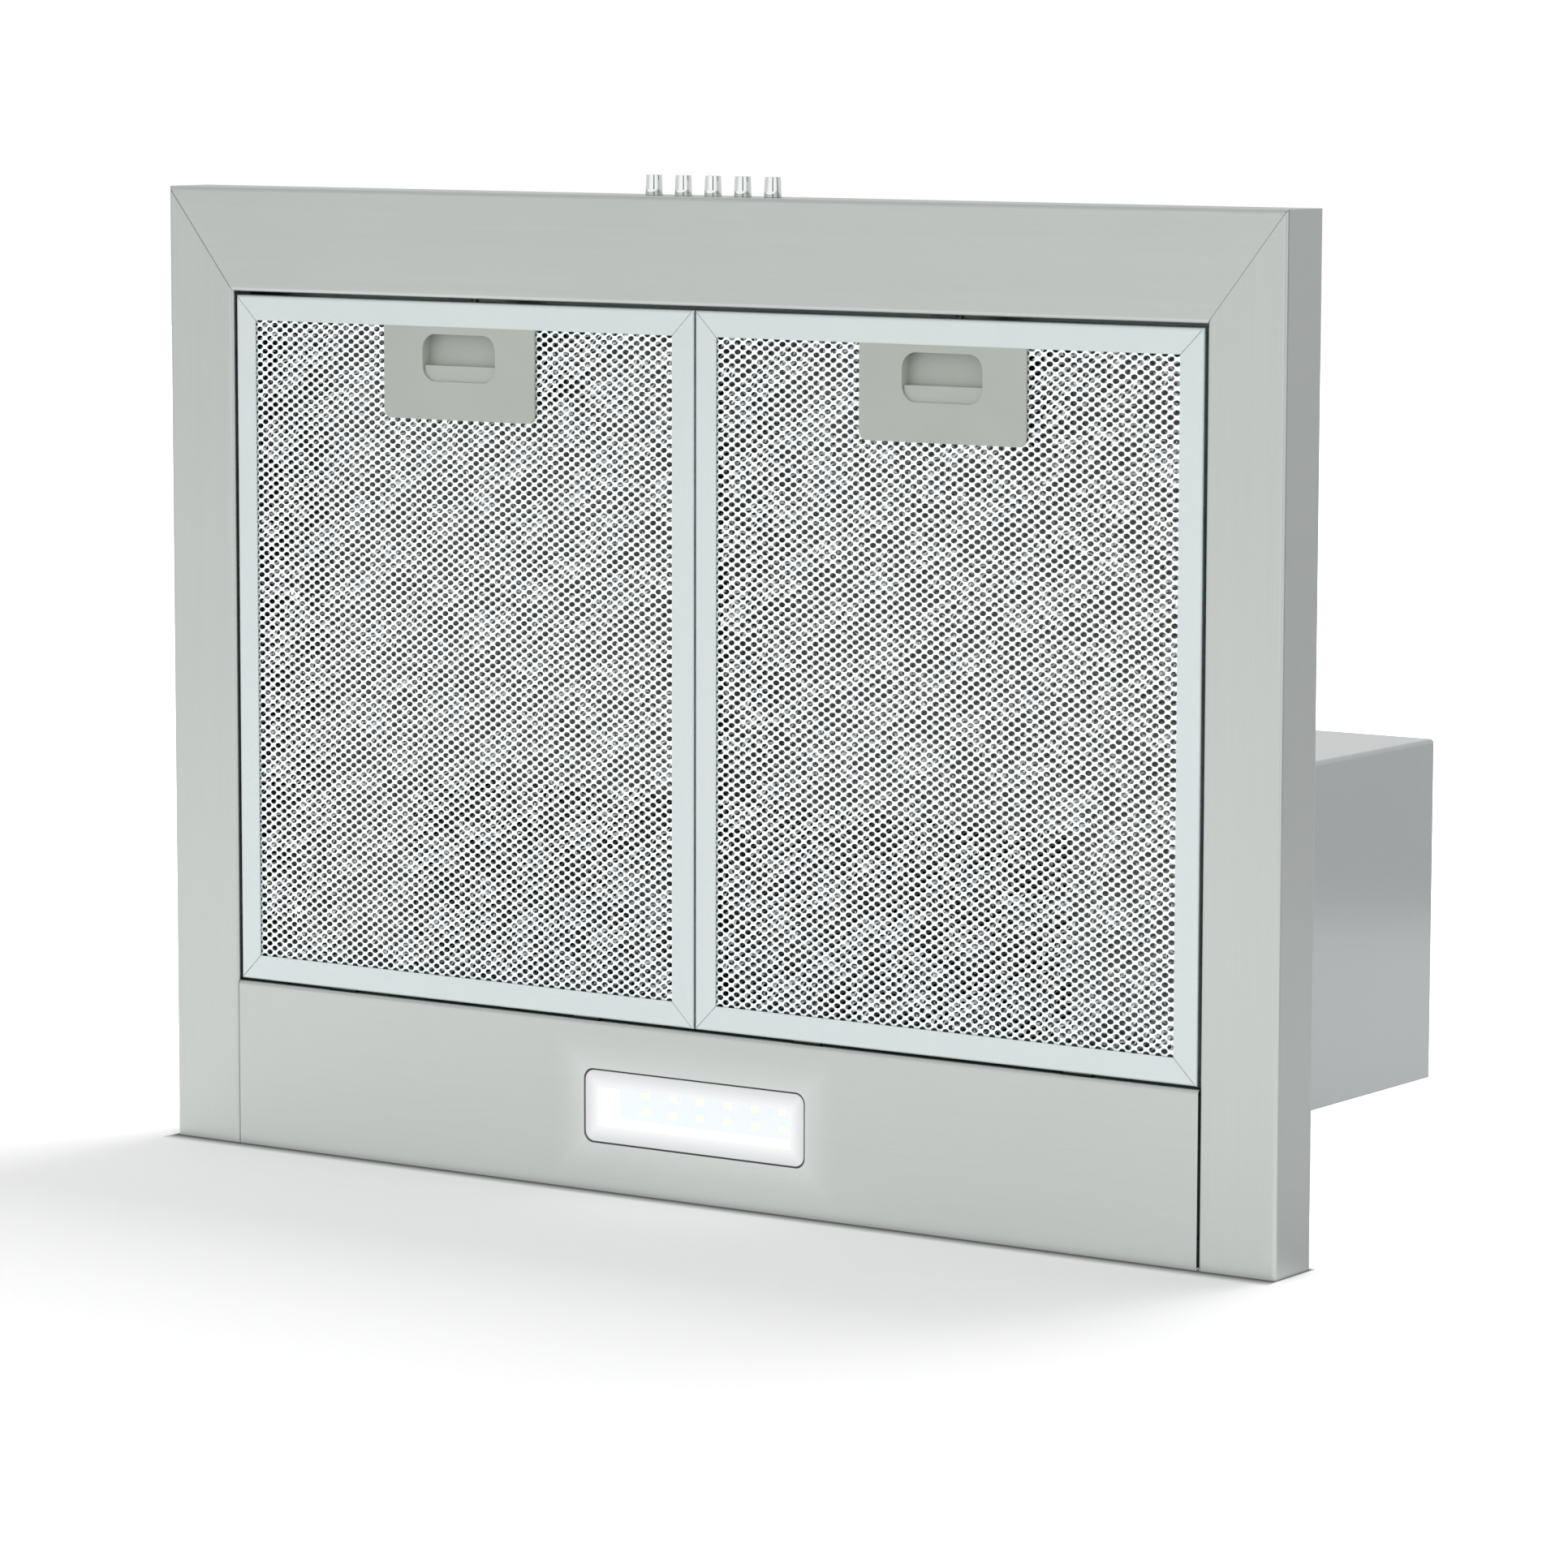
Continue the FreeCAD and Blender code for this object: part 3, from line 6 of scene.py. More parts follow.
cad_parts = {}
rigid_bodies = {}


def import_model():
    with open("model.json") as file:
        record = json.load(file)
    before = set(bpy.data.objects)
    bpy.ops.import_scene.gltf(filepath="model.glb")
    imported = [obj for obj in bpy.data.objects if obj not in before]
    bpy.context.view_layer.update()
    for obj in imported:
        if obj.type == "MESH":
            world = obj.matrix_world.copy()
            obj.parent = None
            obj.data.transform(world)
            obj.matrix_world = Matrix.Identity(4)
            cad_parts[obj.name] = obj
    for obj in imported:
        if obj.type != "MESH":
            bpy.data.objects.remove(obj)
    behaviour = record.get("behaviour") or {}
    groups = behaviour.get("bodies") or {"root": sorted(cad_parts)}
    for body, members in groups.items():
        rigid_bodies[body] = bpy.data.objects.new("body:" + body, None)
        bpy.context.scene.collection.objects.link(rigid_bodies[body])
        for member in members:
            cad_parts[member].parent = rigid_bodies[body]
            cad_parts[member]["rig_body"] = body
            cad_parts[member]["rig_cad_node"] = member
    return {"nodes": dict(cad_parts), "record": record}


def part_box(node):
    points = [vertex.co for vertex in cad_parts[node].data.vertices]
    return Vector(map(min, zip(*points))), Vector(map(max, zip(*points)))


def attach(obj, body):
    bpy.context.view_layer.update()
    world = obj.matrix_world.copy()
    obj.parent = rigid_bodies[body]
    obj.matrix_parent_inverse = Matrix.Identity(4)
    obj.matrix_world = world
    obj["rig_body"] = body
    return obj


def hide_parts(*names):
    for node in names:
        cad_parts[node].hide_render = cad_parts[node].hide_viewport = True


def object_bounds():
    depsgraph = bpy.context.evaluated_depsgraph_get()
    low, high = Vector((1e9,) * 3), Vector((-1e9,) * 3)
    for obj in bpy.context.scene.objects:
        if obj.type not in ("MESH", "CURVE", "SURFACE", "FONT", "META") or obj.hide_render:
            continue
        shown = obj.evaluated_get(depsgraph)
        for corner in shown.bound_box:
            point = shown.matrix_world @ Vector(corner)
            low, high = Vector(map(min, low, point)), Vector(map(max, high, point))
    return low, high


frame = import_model()
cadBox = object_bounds()
record = frame["record"]
nodes = frame["nodes"]
slotOf = {part["node"]: part["material_slot"] for part in record["subparts"]}
bodyOf = {node: body for body, members in record["behaviour"]["bodies"].items() for node in members}
mm = 0.001
hair = 0.01 * mm  # slack for telling places apart
sides = ("left", "right")
print("frame loaded:", len(nodes), "nodes")


# Camera: the hood stands on its rear edge, so up in the view is -Y
cameraSet = {
    "lens": 141.8,
    "sensor": 36,
    "place": (1.5774, -0.3406, -2.2439),
    "turn": -34.62,
    "down": 7.02,
    "roll": 0.122,
}


def makeCamera(settings):
    data = bpy.data.cameras.new("Camera")
    data.lens = settings["lens"]
    data.sensor_width = settings["sensor"]
    camera = bpy.data.objects.new("Camera", data)
    bpy.context.scene.collection.objects.link(camera)
    camera.matrix_world = (
        Matrix.Translation(settings["place"])
        @ Matrix.Rotation(math.radians(settings["turn"]), 4, "Y")
        @ Matrix.Rotation(math.radians(180 - settings["down"]), 4, "X")
        @ Matrix.Rotation(math.radians(settings["roll"]), 4, "Z")
    )
    bpy.context.scene.camera = camera


makeCamera(cameraSet)
print("camera placed")


class Wire:  # a node's socket that takes part in Python expressions
    def __init__(self, paint, socket):
        self.paint = paint
        self.socket = socket

    def maths(self, operation, first, second):
        return self.paint.add("ShaderNodeMath", {"operation": operation}, {0: first, 1: second})

    def __add__(self, other):
        return self.maths("ADD", self, other)

    def __radd__(self, other):
        return self.maths("ADD", other, self)

    def __sub__(self, other):
        return self.maths("SUBTRACT", self, other)

    def __rsub__(self, other):
        return self.maths("SUBTRACT", other, self)

    def __mul__(self, other):
        return self.maths("MULTIPLY", self, other)

    def __rmul__(self, other):
        return self.maths("MULTIPLY", other, self)

    def __truediv__(self, other):
        return self.maths("DIVIDE", self, other)

    def __rtruediv__(self, other):
        return self.maths("DIVIDE", other, self)

    def __abs__(self):
        return self.maths("ABSOLUTE", self, 0)

    def __gt__(self, other):
        return self.maths("GREATER_THAN", self, other)

    def __lt__(self, other):
        return self.maths("LESS_THAN", self, other)


class Paint:  # the node tree of a material or of the world
    def __init__(self, owner):
        self.owner = owner
        owner.use_nodes = True
        self.tree = owner.node_tree
        self.tree.nodes.clear()

    def add(self, kind, settings=None, inputs=None, out=0):
        node = self.tree.nodes.new(kind)
        for key, value in (settings or {}).items():
            if key == "stops":
                self.setStops(node.color_ramp, value)
            else:
                setattr(node, key, value)
        for key, value in (inputs or {}).items():
            if isinstance(value, Wire):
                self.tree.links.new(value.socket, node.inputs[key])
            else:
                node.inputs[key].default_value = value
        return Wire(self, node.outputs[out] if node.outputs else None)

    def setStops(self, ramp, stops):
        while len(ramp.elements) < len(stops):
            ramp.elements.new(0.5)
        for element, (place, colour) in zip(ramp.elements, stops):
            element.position = place
            element.color = (*colour, 1)

    def noise(self, scale, detail=2.0, stretch=(1, 1, 1), rough=0.5):
        spot = self.add("ShaderNodeTexCoord", out="Object")
        spot = self.add("ShaderNodeMapping", {}, {"Vector": spot, "Scale": stretch})
        inputs = {"Vector": spot, "Scale": scale, "Detail": detail, "Roughness": rough}
        return self.add("ShaderNodeTexNoise", {}, inputs)

    def between(self, low, high, factor):  # one colour to another
        ends = [end if isinstance(end, Wire) else (*end, 1) for end in (low, high)]
        return self.add("ShaderNodeMix", {"data_type": "RGBA"}, {0: factor, 6: ends[0], 7: ends[1]}, 2)

    def most(self, first, *others):
        for other in others:
            first = first.maths("MAXIMUM", first, other)
        return first

    def clamped(self, value, low, high, toLow, toHigh):
        inputs = {0: value, 1: low, 2: high, 3: toLow, 4: toHigh}
        return self.add("ShaderNodeMapRange", {"clamp": True}, inputs)

    def tone(self, value):  # the middle of a noise, drawn out to 0 to 1
        return self.clamped(value, 0.35, 0.65, 0, 1)

    def about(self, value, middle, spread):  # a number that a noise moves either side of its middle
        return self.clamped(value, 0.3, 0.7, middle - spread, middle + spread)

    def bump(self, height, strength, distance=0.2 * mm):
        return self.add("ShaderNodeBump", {}, {"Height": height, "Strength": strength, "Distance": distance})

    def axes(self, kind="Object"):  # coordinates as three wires
        spot = self.add("ShaderNodeTexCoord", out=kind)
        split = self.tree.nodes.new("ShaderNodeSeparateXYZ")
        self.tree.links.new(spot.socket, split.inputs[0])
        return [Wire(self, split.outputs[i]) for i in range(3)]

    def surface(self, inputs):
        shader = self.add("ShaderNodeBsdfPrincipled", {}, inputs)
        self.show(shader)
        return self.owner

    def show(self, shader, kind="ShaderNodeOutputMaterial"):
        self.add(kind, {}, {"Surface": shader})


def newPaint(name):
    return Paint(bpy.data.materials.new(name))


# Noise scales: the higher, the finer
grainSet = {
    "brushLines": 2600,
    "brushBands": 420,
    "brushClouds": 7,
    "satin": 1800,
    "zinc": 900,
    "zincCrystals": 260,
    "moulded": 1500,
    "mouldedClouds": 25,
    "lit": 900,
    "frosted": 1500,
    "clear": 300,
}
brushStretch = 0.012  # the share of a noise's scale that is left along a brushed line
# Near black, the colour of painted shade
paintedShadeTone = (0.02, 0.02, 0.02)


def brushedMetal(name, low, high, grain, roughness, spread=0.05, relief=0.02, lamp=None):
    # Fine lines along one axis, with broad faint clouding across the sheet
    paint = newPaint(name)
    stretch = [1.0, 1.0, 1.0]
    stretch["XYZ".index(grain)] = brushStretch
    lines = paint.noise(grainSet["brushLines"], 3, stretch, 0.6)
    bands = paint.noise(grainSet["brushBands"], 2, stretch, 0.5)
    clouds = paint.noise(grainSet["brushClouds"], 2)
    mix = lines * 0.45 + bands * 0.25 + clouds * 0.3
    inputs = {
        "Base Color": paint.between(low, high, paint.tone(mix)),
        "Metallic": 1.0,
        "Roughness": paint.about(lines * 0.6 + bands * 0.4, roughness, spread),
        "Normal": paint.bump(lines, relief),
    }
    # Painted light: beside the lamp the steel glows with a halo that fades away from the window
    if lamp:
        halo = paint.clamped(lampDistance(paint), 0, lamp["haloReach"], 1, 0)
        inputs["Emission Color"] = paint.between((0, 0, 0), (1, 1, 1), halo * halo)
        inputs["Emission Strength"] = lamp["halo"]
    return paint.surface(inputs)


def satinMetal(name, low, high, roughness, scale=60, relief=0.01, shaded=None):
    paint = newPaint(name)
    grain = paint.noise(grainSet["satin"], 2)
    clouds = paint.noise(scale, 3)
    base = paint.between(low, high, paint.tone(grain * 0.4 + clouds * 0.6))
    return paint.surface({
        "Base Color": darkEnd(paint, base, shaded),
        "Metallic": 1.0,
        "Roughness": paint.about(clouds, roughness, 0.04),
        "Normal": paint.bump(grain, relief),
    })


def spangledZinc(name):
    # Zinc crystals a few millimetres across, each with its own shade
    paint = newPaint(name)
    spot = paint.add("ShaderNodeTexCoord", out="Object")
    crystals = {"Vector": spot, "Scale": grainSet["zincCrystals"]}
    cells = paint.add("ShaderNodeTexVoronoi", {}, crystals, "Color")
    shade = paint.add("ShaderNodeSeparateColor", {}, {0: cells})
    fine = paint.noise(grainSet["zinc"], 2)
    tone = paint.clamped(shade * 0.7 + fine * 0.3, 0.1, 0.9, 0, 1)
    return paint.surface({
        "Base Color": paint.between((0.50, 0.53, 0.55), (0.66, 0.69, 0.71), tone),
        "Metallic": 1.0,
        "Roughness": paint.clamped(tone, 0, 1, 0.34, 0.46),
        "Normal": paint.bump(fine, 0.02),
    })


def darkEnd(paint, base, places):
    # Painted shade: tabs and tongues that reach under a neighbour are coloured dark, outside the y between
    # the two places
    if not places:
        return base
    x, y, z = paint.axes()
    return paint.between(base, paintedShadeTone, paint.most(y < places[0], y > places[1]))


def mouldedPlastic(name, low, high, roughness, shaded=None):
    # A fine moulded grain and slight shade changes
    paint = newPaint(name)
    grain = paint.noise(grainSet["moulded"], 3)
    clouds = paint.noise(grainSet["mouldedClouds"], 2)
    base = paint.between(low, high, paint.tone(grain * 0.3 + clouds * 0.7))
    return paint.surface({
        "Base Color": darkEnd(paint, base, shaded),
        "Roughness": paint.about(grain, roughness, 0.05),
        "Normal": paint.bump(grain, 0.05),
    })


# The lit lamp: its bezel glows from far to near the window, and the panel beside it has a painted halo of
# lamp light
lampSet = {
    "bezelGlow": (0.14, 0.42),
    "glowReach": 8.0 * mm,
    "flangeUp": 0.6 * mm,
    "flangeOut": 3.0 * mm,
    "paneAlpha": 0.08,
    "halo": 0.2,
    "haloReach": 28.0 * mm,
}


def lampDistance(paint):
    # How far a point lies outside the lamp's window
    low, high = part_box("lamp_window")
    x, y, z = paint.axes()
    middle, half = (low + high) / 2, (high - low) / 2
    return paint.most(abs(x - middle.x) - half.x, abs(y - middle.y) - half.y)


def litPlastic(name, low, high, light, strength):
    # Plastic that the lamp lights from within
    paint = newPaint(name)
    grain = paint.noise(grainSet["lit"], 3)
    return paint.surface({
        "Base Color": paint.between(low, high, paint.tone(grain)),
        "Roughness": paint.about(grain, 0.4, 0.05),
        "Emission Color": (*light, 1),
        "Emission Strength": strength,
        "Normal": paint.bump(grain, 0.03),
    })


def frostedPlastic(settings):
    # Frosted white, lit by the lamp most strongly beside the window. Its flange behind the panel has painted
    # shade: it is coloured dark and gets no lamp light
    paint = newPaint("frostedPlastic")
    grain = paint.noise(grainSet["frosted"], 3)
    farGlow, nearGlow = settings["bezelGlow"]
    level = paint.clamped(lampDistance(paint), 0, settings["glowReach"], nearGlow, farGlow)
    x, y, z = paint.axes()
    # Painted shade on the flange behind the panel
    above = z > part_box("lamp_bezel")[0].z + settings["flangeUp"]
    flange = above * (lampDistance(paint) > settings["flangeOut"])
    frosted = paint.between((0.58, 0.59, 0.60), (0.62, 0.63, 0.64), grain)
    level = level * (1 - flange)  # the flange behind the panel stays dark
    return paint.surface({
        "Base Color": paint.between(frosted, (0.06, 0.06, 0.06), flange),
        "Roughness": paint.about(grain, 0.35, 0.05),
        "Emission Color": paint.between((0, 0, 0), (1, 1, 1), level),
        "Emission Strength": 1.0,
        "Normal": paint.bump(grain, 0.05),
    })


def clearPlastic(settings):
    paint = newPaint("clearPlastic")
    grain = paint.noise(grainSet["clear"], 2)
    return paint.surface({
        "Base Color": paint.between((0.88, 0.90, 0.91), (0.94, 0.95, 0.96), grain),
        "Roughness": paint.about(grain, 0.06, 0.02),
        "Alpha": settings["paneAlpha"],
    })


# Between these two y a filter shows; its latch tongue reaches out before them and its hinge tabs behind
# them, and there they get painted shade
tabReach = 4.45 * mm
filterFront, filterRear = (corner.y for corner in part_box("filter_frame_left"))
filterEnds = (filterFront - 2 * hair, filterRear - tabReach)

canopyTones = ((0.490, 0.515, 0.500), (0.525, 0.550, 0.535))
greyTones = ((0.455, 0.485, 0.445), (0.485, 0.515, 0.475))
finishes = {
    "frontSteel": brushedMetal("frontSteel", *canopyTones, "X", 0.34),
    "lampSteel": brushedMetal("lampSteel", *canopyTones, "X", 0.34, lamp=lampSet),
    "sideSteel": brushedMetal("sideSteel", *canopyTones, "Y", 0.34),
    "tower_steel": brushedMetal(
        "towerSteel", (0.52, 0.545, 0.55), (0.55, 0.575, 0.58), "X", 0.16, 0.01, 0.004,
    ),
    "galvanised_steel": spangledZinc("galvanisedSteel"),
    "spring_steel": satinMetal("springSteel", (0.5, 0.5, 0.5), (0.62, 0.62, 0.62), 0.3),
    "motor_laminations": brushedMetal(
        "motorLaminations", (0.22, 0.17, 0.12), (0.42, 0.36, 0.30), "X", 0.45,
    ),
    "aluminium_frame": satinMetal(
        "frameAluminium", (0.645, 0.70, 0.70), (0.675, 0.73, 0.73), 0.5, shaded=filterEnds,
    ),
    "aluminium_mesh": satinMetal("meshAluminium", (0.845, 0.875, 0.875), (0.905, 0.925, 0.925), 0.42, 140),
    "coreMesh": satinMetal("coreAluminium", (0.54, 0.56, 0.56), (0.86, 0.88, 0.88), 0.36, 200),
    # Painted shade: the back mesh layer is coloured dark for the shade behind the other layers
    "backMesh": satinMetal("backAluminium", (0.10, 0.11, 0.11), (0.26, 0.27, 0.27), 0.5, 200),
    "button_chrome": satinMetal("buttonChrome", (0.78, 0.80, 0.80), (0.84, 0.86, 0.86), 0.05, 90, 0.002),
    "grey_plastic": mouldedPlastic("greyPlastic", *greyTones, 0.4),
    "latchPlastic": mouldedPlastic("latchPlastic", *greyTones, 0.4, shaded=filterEnds),
    # Painted shade: steel coloured near black, for the latch keepers in their gap
    "bluedSteel": satinMetal("bluedSteel", (0.03, 0.03, 0.035), (0.05, 0.05, 0.06), 0.4),
    "white_plastic": mouldedPlastic("whitePlastic", (0.78, 0.78, 0.75), (0.84, 0.84, 0.81), 0.35),
    "black_plastic": mouldedPlastic("blackPlastic", (0.018, 0.018, 0.019), (0.028, 0.028, 0.03), 0.5),
    "led_phosphor": litPlastic(
        "ledPhosphor", (0.52, 0.50, 0.36), (0.56, 0.54, 0.40), (1.0, 0.98, 0.86), 0.6,
    ),
    "circuit_board": litPlastic(
        "circuitBoard", (0.50, 0.54, 0.56), (0.54, 0.58, 0.60), (0.93, 0.97, 1.0), 0.45,
    ),
    "cable_sheath": mouldedPlastic("cableSheath", (0.58, 0.58, 0.55), (0.64, 0.64, 0.61), 0.5),
    "frosted_plastic": frostedPlastic(lampSet),
    "clear_plastic": clearPlastic(lampSet),
    "litTray": litPlastic("litTray", (0.62, 0.62, 0.62), (0.66, 0.66, 0.66), (1.0, 1.0, 1.0), 0.42),
}
finishes["stainless_steel"] = finishes["frontSteel"]
finishOf = {name: finishes[slotOf[name]] for name in nodes}
finishOf["lamp_tray"] = finishes["litTray"]
finishOf["lamp_panel"] = finishes["lampSteel"]
# The latch keepers get painted shade
finishOf["latch_keepers"] = finishes["bluedSteel"]
for side in sides:
    finishOf["canopy_" + side + "_rim"] = finishes["sideSteel"]
    finishOf["filter_latch_" + side] = finishes["latchPlastic"]
    for layer in ("core", "back"):
        finishOf["filter_" + layer + "_mesh_" + side] = finishes[layer + "Mesh"]
for name, node in nodes.items():
    node.data.materials.clear()
    node.data.materials.append(finishOf[name])
print("finishes made:", len(finishes))


# What the modelling steps share, with angles in degrees
stepSet = {
    "merge": 0.002 * mm,
    "flatAngle": 0.4,  # faces that meet under this angle become one
    "edgeAngle": 30,  # edges over it get a radius
    "facing": 0.9,  # a normal this long along an axis faces that way
}


def pick(*pieces):
    bpy.ops.object.select_all(action="DESELECT")
    for piece in pieces:
        piece.select_set(True)
    bpy.context.view_layer.objects.active = pieces[0]


def editAll(piece):
    pick(piece)
    bpy.ops.object.mode_set(mode="EDIT")
    bpy.ops.mesh.select_all(action="SELECT")


def leaveEdit():
    bpy.ops.object.mode_set(mode="OBJECT")


def useModifier(piece, kind, **settings):
    pick(piece)
    modifier = piece.modifiers.new(kind.title(), kind)
    for key, value in settings.items():
        setattr(modifier, key, value)
    bpy.ops.object.modifier_apply(modifier=modifier.name)


def placeMesh(piece):
    # Moves the piece's place, turn and size into its mesh
    pick(piece)
    bpy.ops.object.transform_apply(location=True, rotation=True, scale=True)


def finishPiece(piece, name, node, finish, angle):
    # Smooth it, give it its finish, and let it ride where the CAD node rides
    placeMesh(piece)
    bpy.ops.object.shade_smooth_by_angle(angle=math.radians(angle))
    piece.name = name
    piece.data.name = name
    piece.data.materials.clear()
    piece.data.materials.append(finish)
    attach(piece, bodyOf[node])
    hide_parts(node)


def copyOf(node):
    # The CAD shape as clean faces in a mesh of its own
    piece = nodes[node].copy()
    piece.data = nodes[node].data.copy()
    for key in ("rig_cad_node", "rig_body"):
        del piece[key]
    piece.parent = None
    bpy.context.scene.collection.objects.link(piece)
    editAll(piece)
    bpy.ops.mesh.remove_doubles(threshold=stepSet["merge"])
    bpy.ops.mesh.dissolve_limited(angle_limit=math.radians(stepSet["flatAngle"]))
    leaveEdit()
    return piece


def rounded(node, width, segments=2):
    # A copy of the CAD shape with a small radius on its edges
    piece = copyOf(node)
    useModifier(
        piece, "BEVEL", width=width, segments=segments, limit_method="ANGLE",
        angle_limit=math.radians(stepSet["edgeAngle"]), use_clamp_overlap=True, miter_outer="MITER_ARC",
    )
    return piece


def selectFaces(piece, wanted):
    # Leaves only the wanted faces selected, then opens the piece for editing
    mesh = piece.data
    bpy.context.tool_settings.mesh_select_mode = (False, False, True)
    pick(piece)
    for group in (mesh.vertices, mesh.edges):
        group.foreach_set("select", [False] * len(group))
    mesh.polygons.foreach_set("select", [wanted(face) for face in mesh.polygons])
    bpy.ops.object.mode_set(mode="EDIT")


def pressLine(piece, start, end, width, depth):
    # A fine groove in the face that the cook sees: a strip between two cuts, pushed in
    along = (end - start).normalized()
    across = Vector((-along.y, along.x, 0))
    editAll(piece)
    for way in (-1, 1):
        bpy.ops.mesh.select_all(action="SELECT")
        bpy.ops.mesh.bisect(plane_co=start + across * way * width / 2, plane_no=across)
    leaveEdit()
    length = (end - start).length

    def inStrip(face):
        gap = face.center - start
        near = abs(gap.dot(across)) < width * 0.45 and -width < gap.dot(along) < length + width
        return near and face.normal.z < -stepSet["facing"]

    selectFaces(piece, inStrip)
    bpy.ops.mesh.extrude_region_move(TRANSFORM_OT_translate={"value": (0, 0, depth)})
    leaveEdit()


# Folded sheet and moulded parts keep their CAD shape, with a small radius on their edges
softSet = {
    "canopy_front_rim": {"width": 0.15 * mm},
    "canopy_left_rim": {"width": 0.15 * mm},
    "canopy_right_rim": {"width": 0.15 * mm},
    "canopy_rear_rail": {"width": 0.15 * mm},
    "lamp_panel": {"width": 0.2 * mm},
    "lamp_bezel": {"width": 0.35 * mm, "segments": 3},
    "lamp_tray": {"width": 0.3 * mm},
    "led_chips": {"width": 0.12 * mm},
    "tower_shell": {"width": 0.4 * mm, "segments": 3},
    "tower_rear_cover": {"width": 0.15 * mm},
    "tower_top_plate": {"width": 0.15 * mm},
    "outlet_collar": {"width": 0.4 * mm},
    "damper_flap_front": {"width": 0.2 * mm},
    "damper_flap_rear": {"width": 0.2 * mm},
    "cable_gland": {"width": 0.3 * mm},
}
for side in sides:
    softSet["filter_frame_" + side] = {"width": 0.2 * mm}
    softSet["filter_handle_" + side] = {"width": 0.35 * mm, "segments": 3}
softAngle = 50  # edges under it are shaded smooth
bezelSet = {"gap": 0.65 * mm, "face": 1.0 * mm, "border": 3.0 * mm}


def narrowBezel(piece, settings):
    # The bezel's face is a little smaller than the opening, so a dark line runs round it
    low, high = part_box("lamp_window")
    centre = (low + high) / 2
    half = (high - low) / 2
    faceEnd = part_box("lamp_bezel")[0].z + settings["face"] + hair
    mesh = piece.data
    bpy.context.tool_settings.mesh_select_mode = (True, False, False)
    pick(piece)
    for group in (mesh.vertices, mesh.edges, mesh.polygons):
        group.foreach_set("select", [False] * len(group))
    outer = [
        vertex for vertex in mesh.vertices
        if abs(vertex.co.x - centre.x) > half.x + settings["border"]
        or abs(vertex.co.y - centre.y) > half.y + settings["border"]
    ]
    for vertex in outer:
        vertex.select = vertex.co.z < faceEnd
    wide = max(abs(vertex.co.x - centre.x) for vertex in outer if vertex.select)
    tall = max(abs(vertex.co.y - centre.y) for vertex in outer if vertex.select)
    smaller = (1 - settings["gap"] / wide, 1 - settings["gap"] / tall, 1)
    bpy.ops.object.mode_set(mode="EDIT")
    bpy.ops.transform.resize(value=smaller, center_override=centre)
    leaveEdit()


def pieceName(node):  # a CAD node's name in camel case
    return node[0] + node.title().replace("_", "")[1:]


# Grooves: the filter frames' mitres, the left rim's mitre and the seam between that rim and the lamp panel
grooveSet = {
    "frameFace": 11.5 * mm,
    "frameWidth": 0.3 * mm,
    "frameDepth": 0.5 * mm,
    "rimWidth": 0.75 * mm,
    "rimDepth": 1.0 * mm,
    "rimEnd": 1.5 * mm,
}


def frameMitres(side):
    # The filter frame is four lengths of channel, mitred at its corners
    low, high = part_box("filter_frame_" + side)
    for x, wayX in ((low.x, 1), (high.x, -1)):
        for y, wayY in ((low.y, 1), (filterEnds[1], -1)):
            corner = Vector((x, y, low.z))
            yield corner, corner + Vector((wayX, wayY, 0)) * grooveSet["frameFace"]


def rimLines():
    rimLow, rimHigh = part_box("canopy_left_rim")
    panelLow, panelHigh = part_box("lamp_panel")
    outer = Vector((rimLow.x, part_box("canopy_front_rim")[0].y, rimLow.z))
    yield outer, Vector((rimHigh.x, filterFront - grooveSet["rimEnd"], rimLow.z))
    seamX = panelLow.x - grooveSet["rimWidth"] / 2
    yield Vector((seamX, panelLow.y, rimLow.z)), Vector((seamX, panelHigh.y, rimLow.z))


for node, settings in softSet.items():
    piece = rounded(node, **settings)
    if node.startswith("filter_frame_"):
        for start, end in frameMitres(node.split("_")[-1]):
            pressLine(piece, start, end, grooveSet["frameWidth"], grooveSet["frameDepth"])
    if node == "canopy_left_rim":
        for start, end in rimLines():
            pressLine(piece, start, end, grooveSet["rimWidth"], grooveSet["rimDepth"])
    if node == "lamp_bezel":
        narrowBezel(piece, bezelSet)
    finishPiece(piece, pieceName(node), node, finishOf[node], softAngle)
    useModifier(piece, "WEIGHTED_NORMAL", keep_sharp=True)  # flat faces stay flat
print("edges softened:", len(softSet))


# Expanded mesh of the grease filters: the face sheet has walls round its holes, the inner ones are flat
meshSet = {
    "pitch": (6.1 * mm, 4.1 * mm),
    "hole": (1.72 * mm, 1.22 * mm),
    "depth": 0.75 * mm,
    "flare": 1.12,
    "twist": 0.12 * mm,
    "margin": 2.0 * mm,
    "crumpleSize": 9.0 * mm,
    "smoothAngle": 60,
}
innerSet = {
    "core": {
        "pitch": (6.9 * mm, 4.7 * mm),
        "hole": (2.15 * mm, 1.53 * mm),
        "depth": 0,
        "twist": 0.4 * mm,
        "rise": 1.9 * mm,
        "crumple": 2.3 * mm,
        "drift": 6.0 * mm,
    },
    "back": {
        "pitch": (6.1 * mm, 4.1 * mm),
        "hole": (1.72 * mm, 1.22 * mm),
        "depth": 0,
        "twist": -0.28 * mm,
        "rise": 6.4 * mm,
        "crumple": 0.3 * mm,
        "drift": 0,
    },
}


def meshCell(pitch, hole):
    # One diamond with an oval hole
    bpy.ops.object.select_all(action="DESELECT")
    bpy.ops.mesh.primitive_circle_add(vertices=4, radius=1)
    cell = bpy.context.active_object
    bpy.ops.object.mode_set(mode="EDIT")
    bpy.ops.mesh.select_all(action="SELECT")
    bpy.ops.transform.resize(value=(pitch[0] / 2, pitch[1] / 2, 1))
    bpy.ops.mesh.subdivide(number_cuts=1)
    bpy.ops.mesh.select_all(action="DESELECT")
    bpy.ops.mesh.primitive_circle_add(vertices=8, radius=1)
    bpy.ops.transform.resize(value=(hole[0], hole[1], 1))
    bpy.ops.mesh.select_all(action="SELECT")
    bpy.ops.mesh.bridge_edge_loops()
    leaveEdit()
    return cell


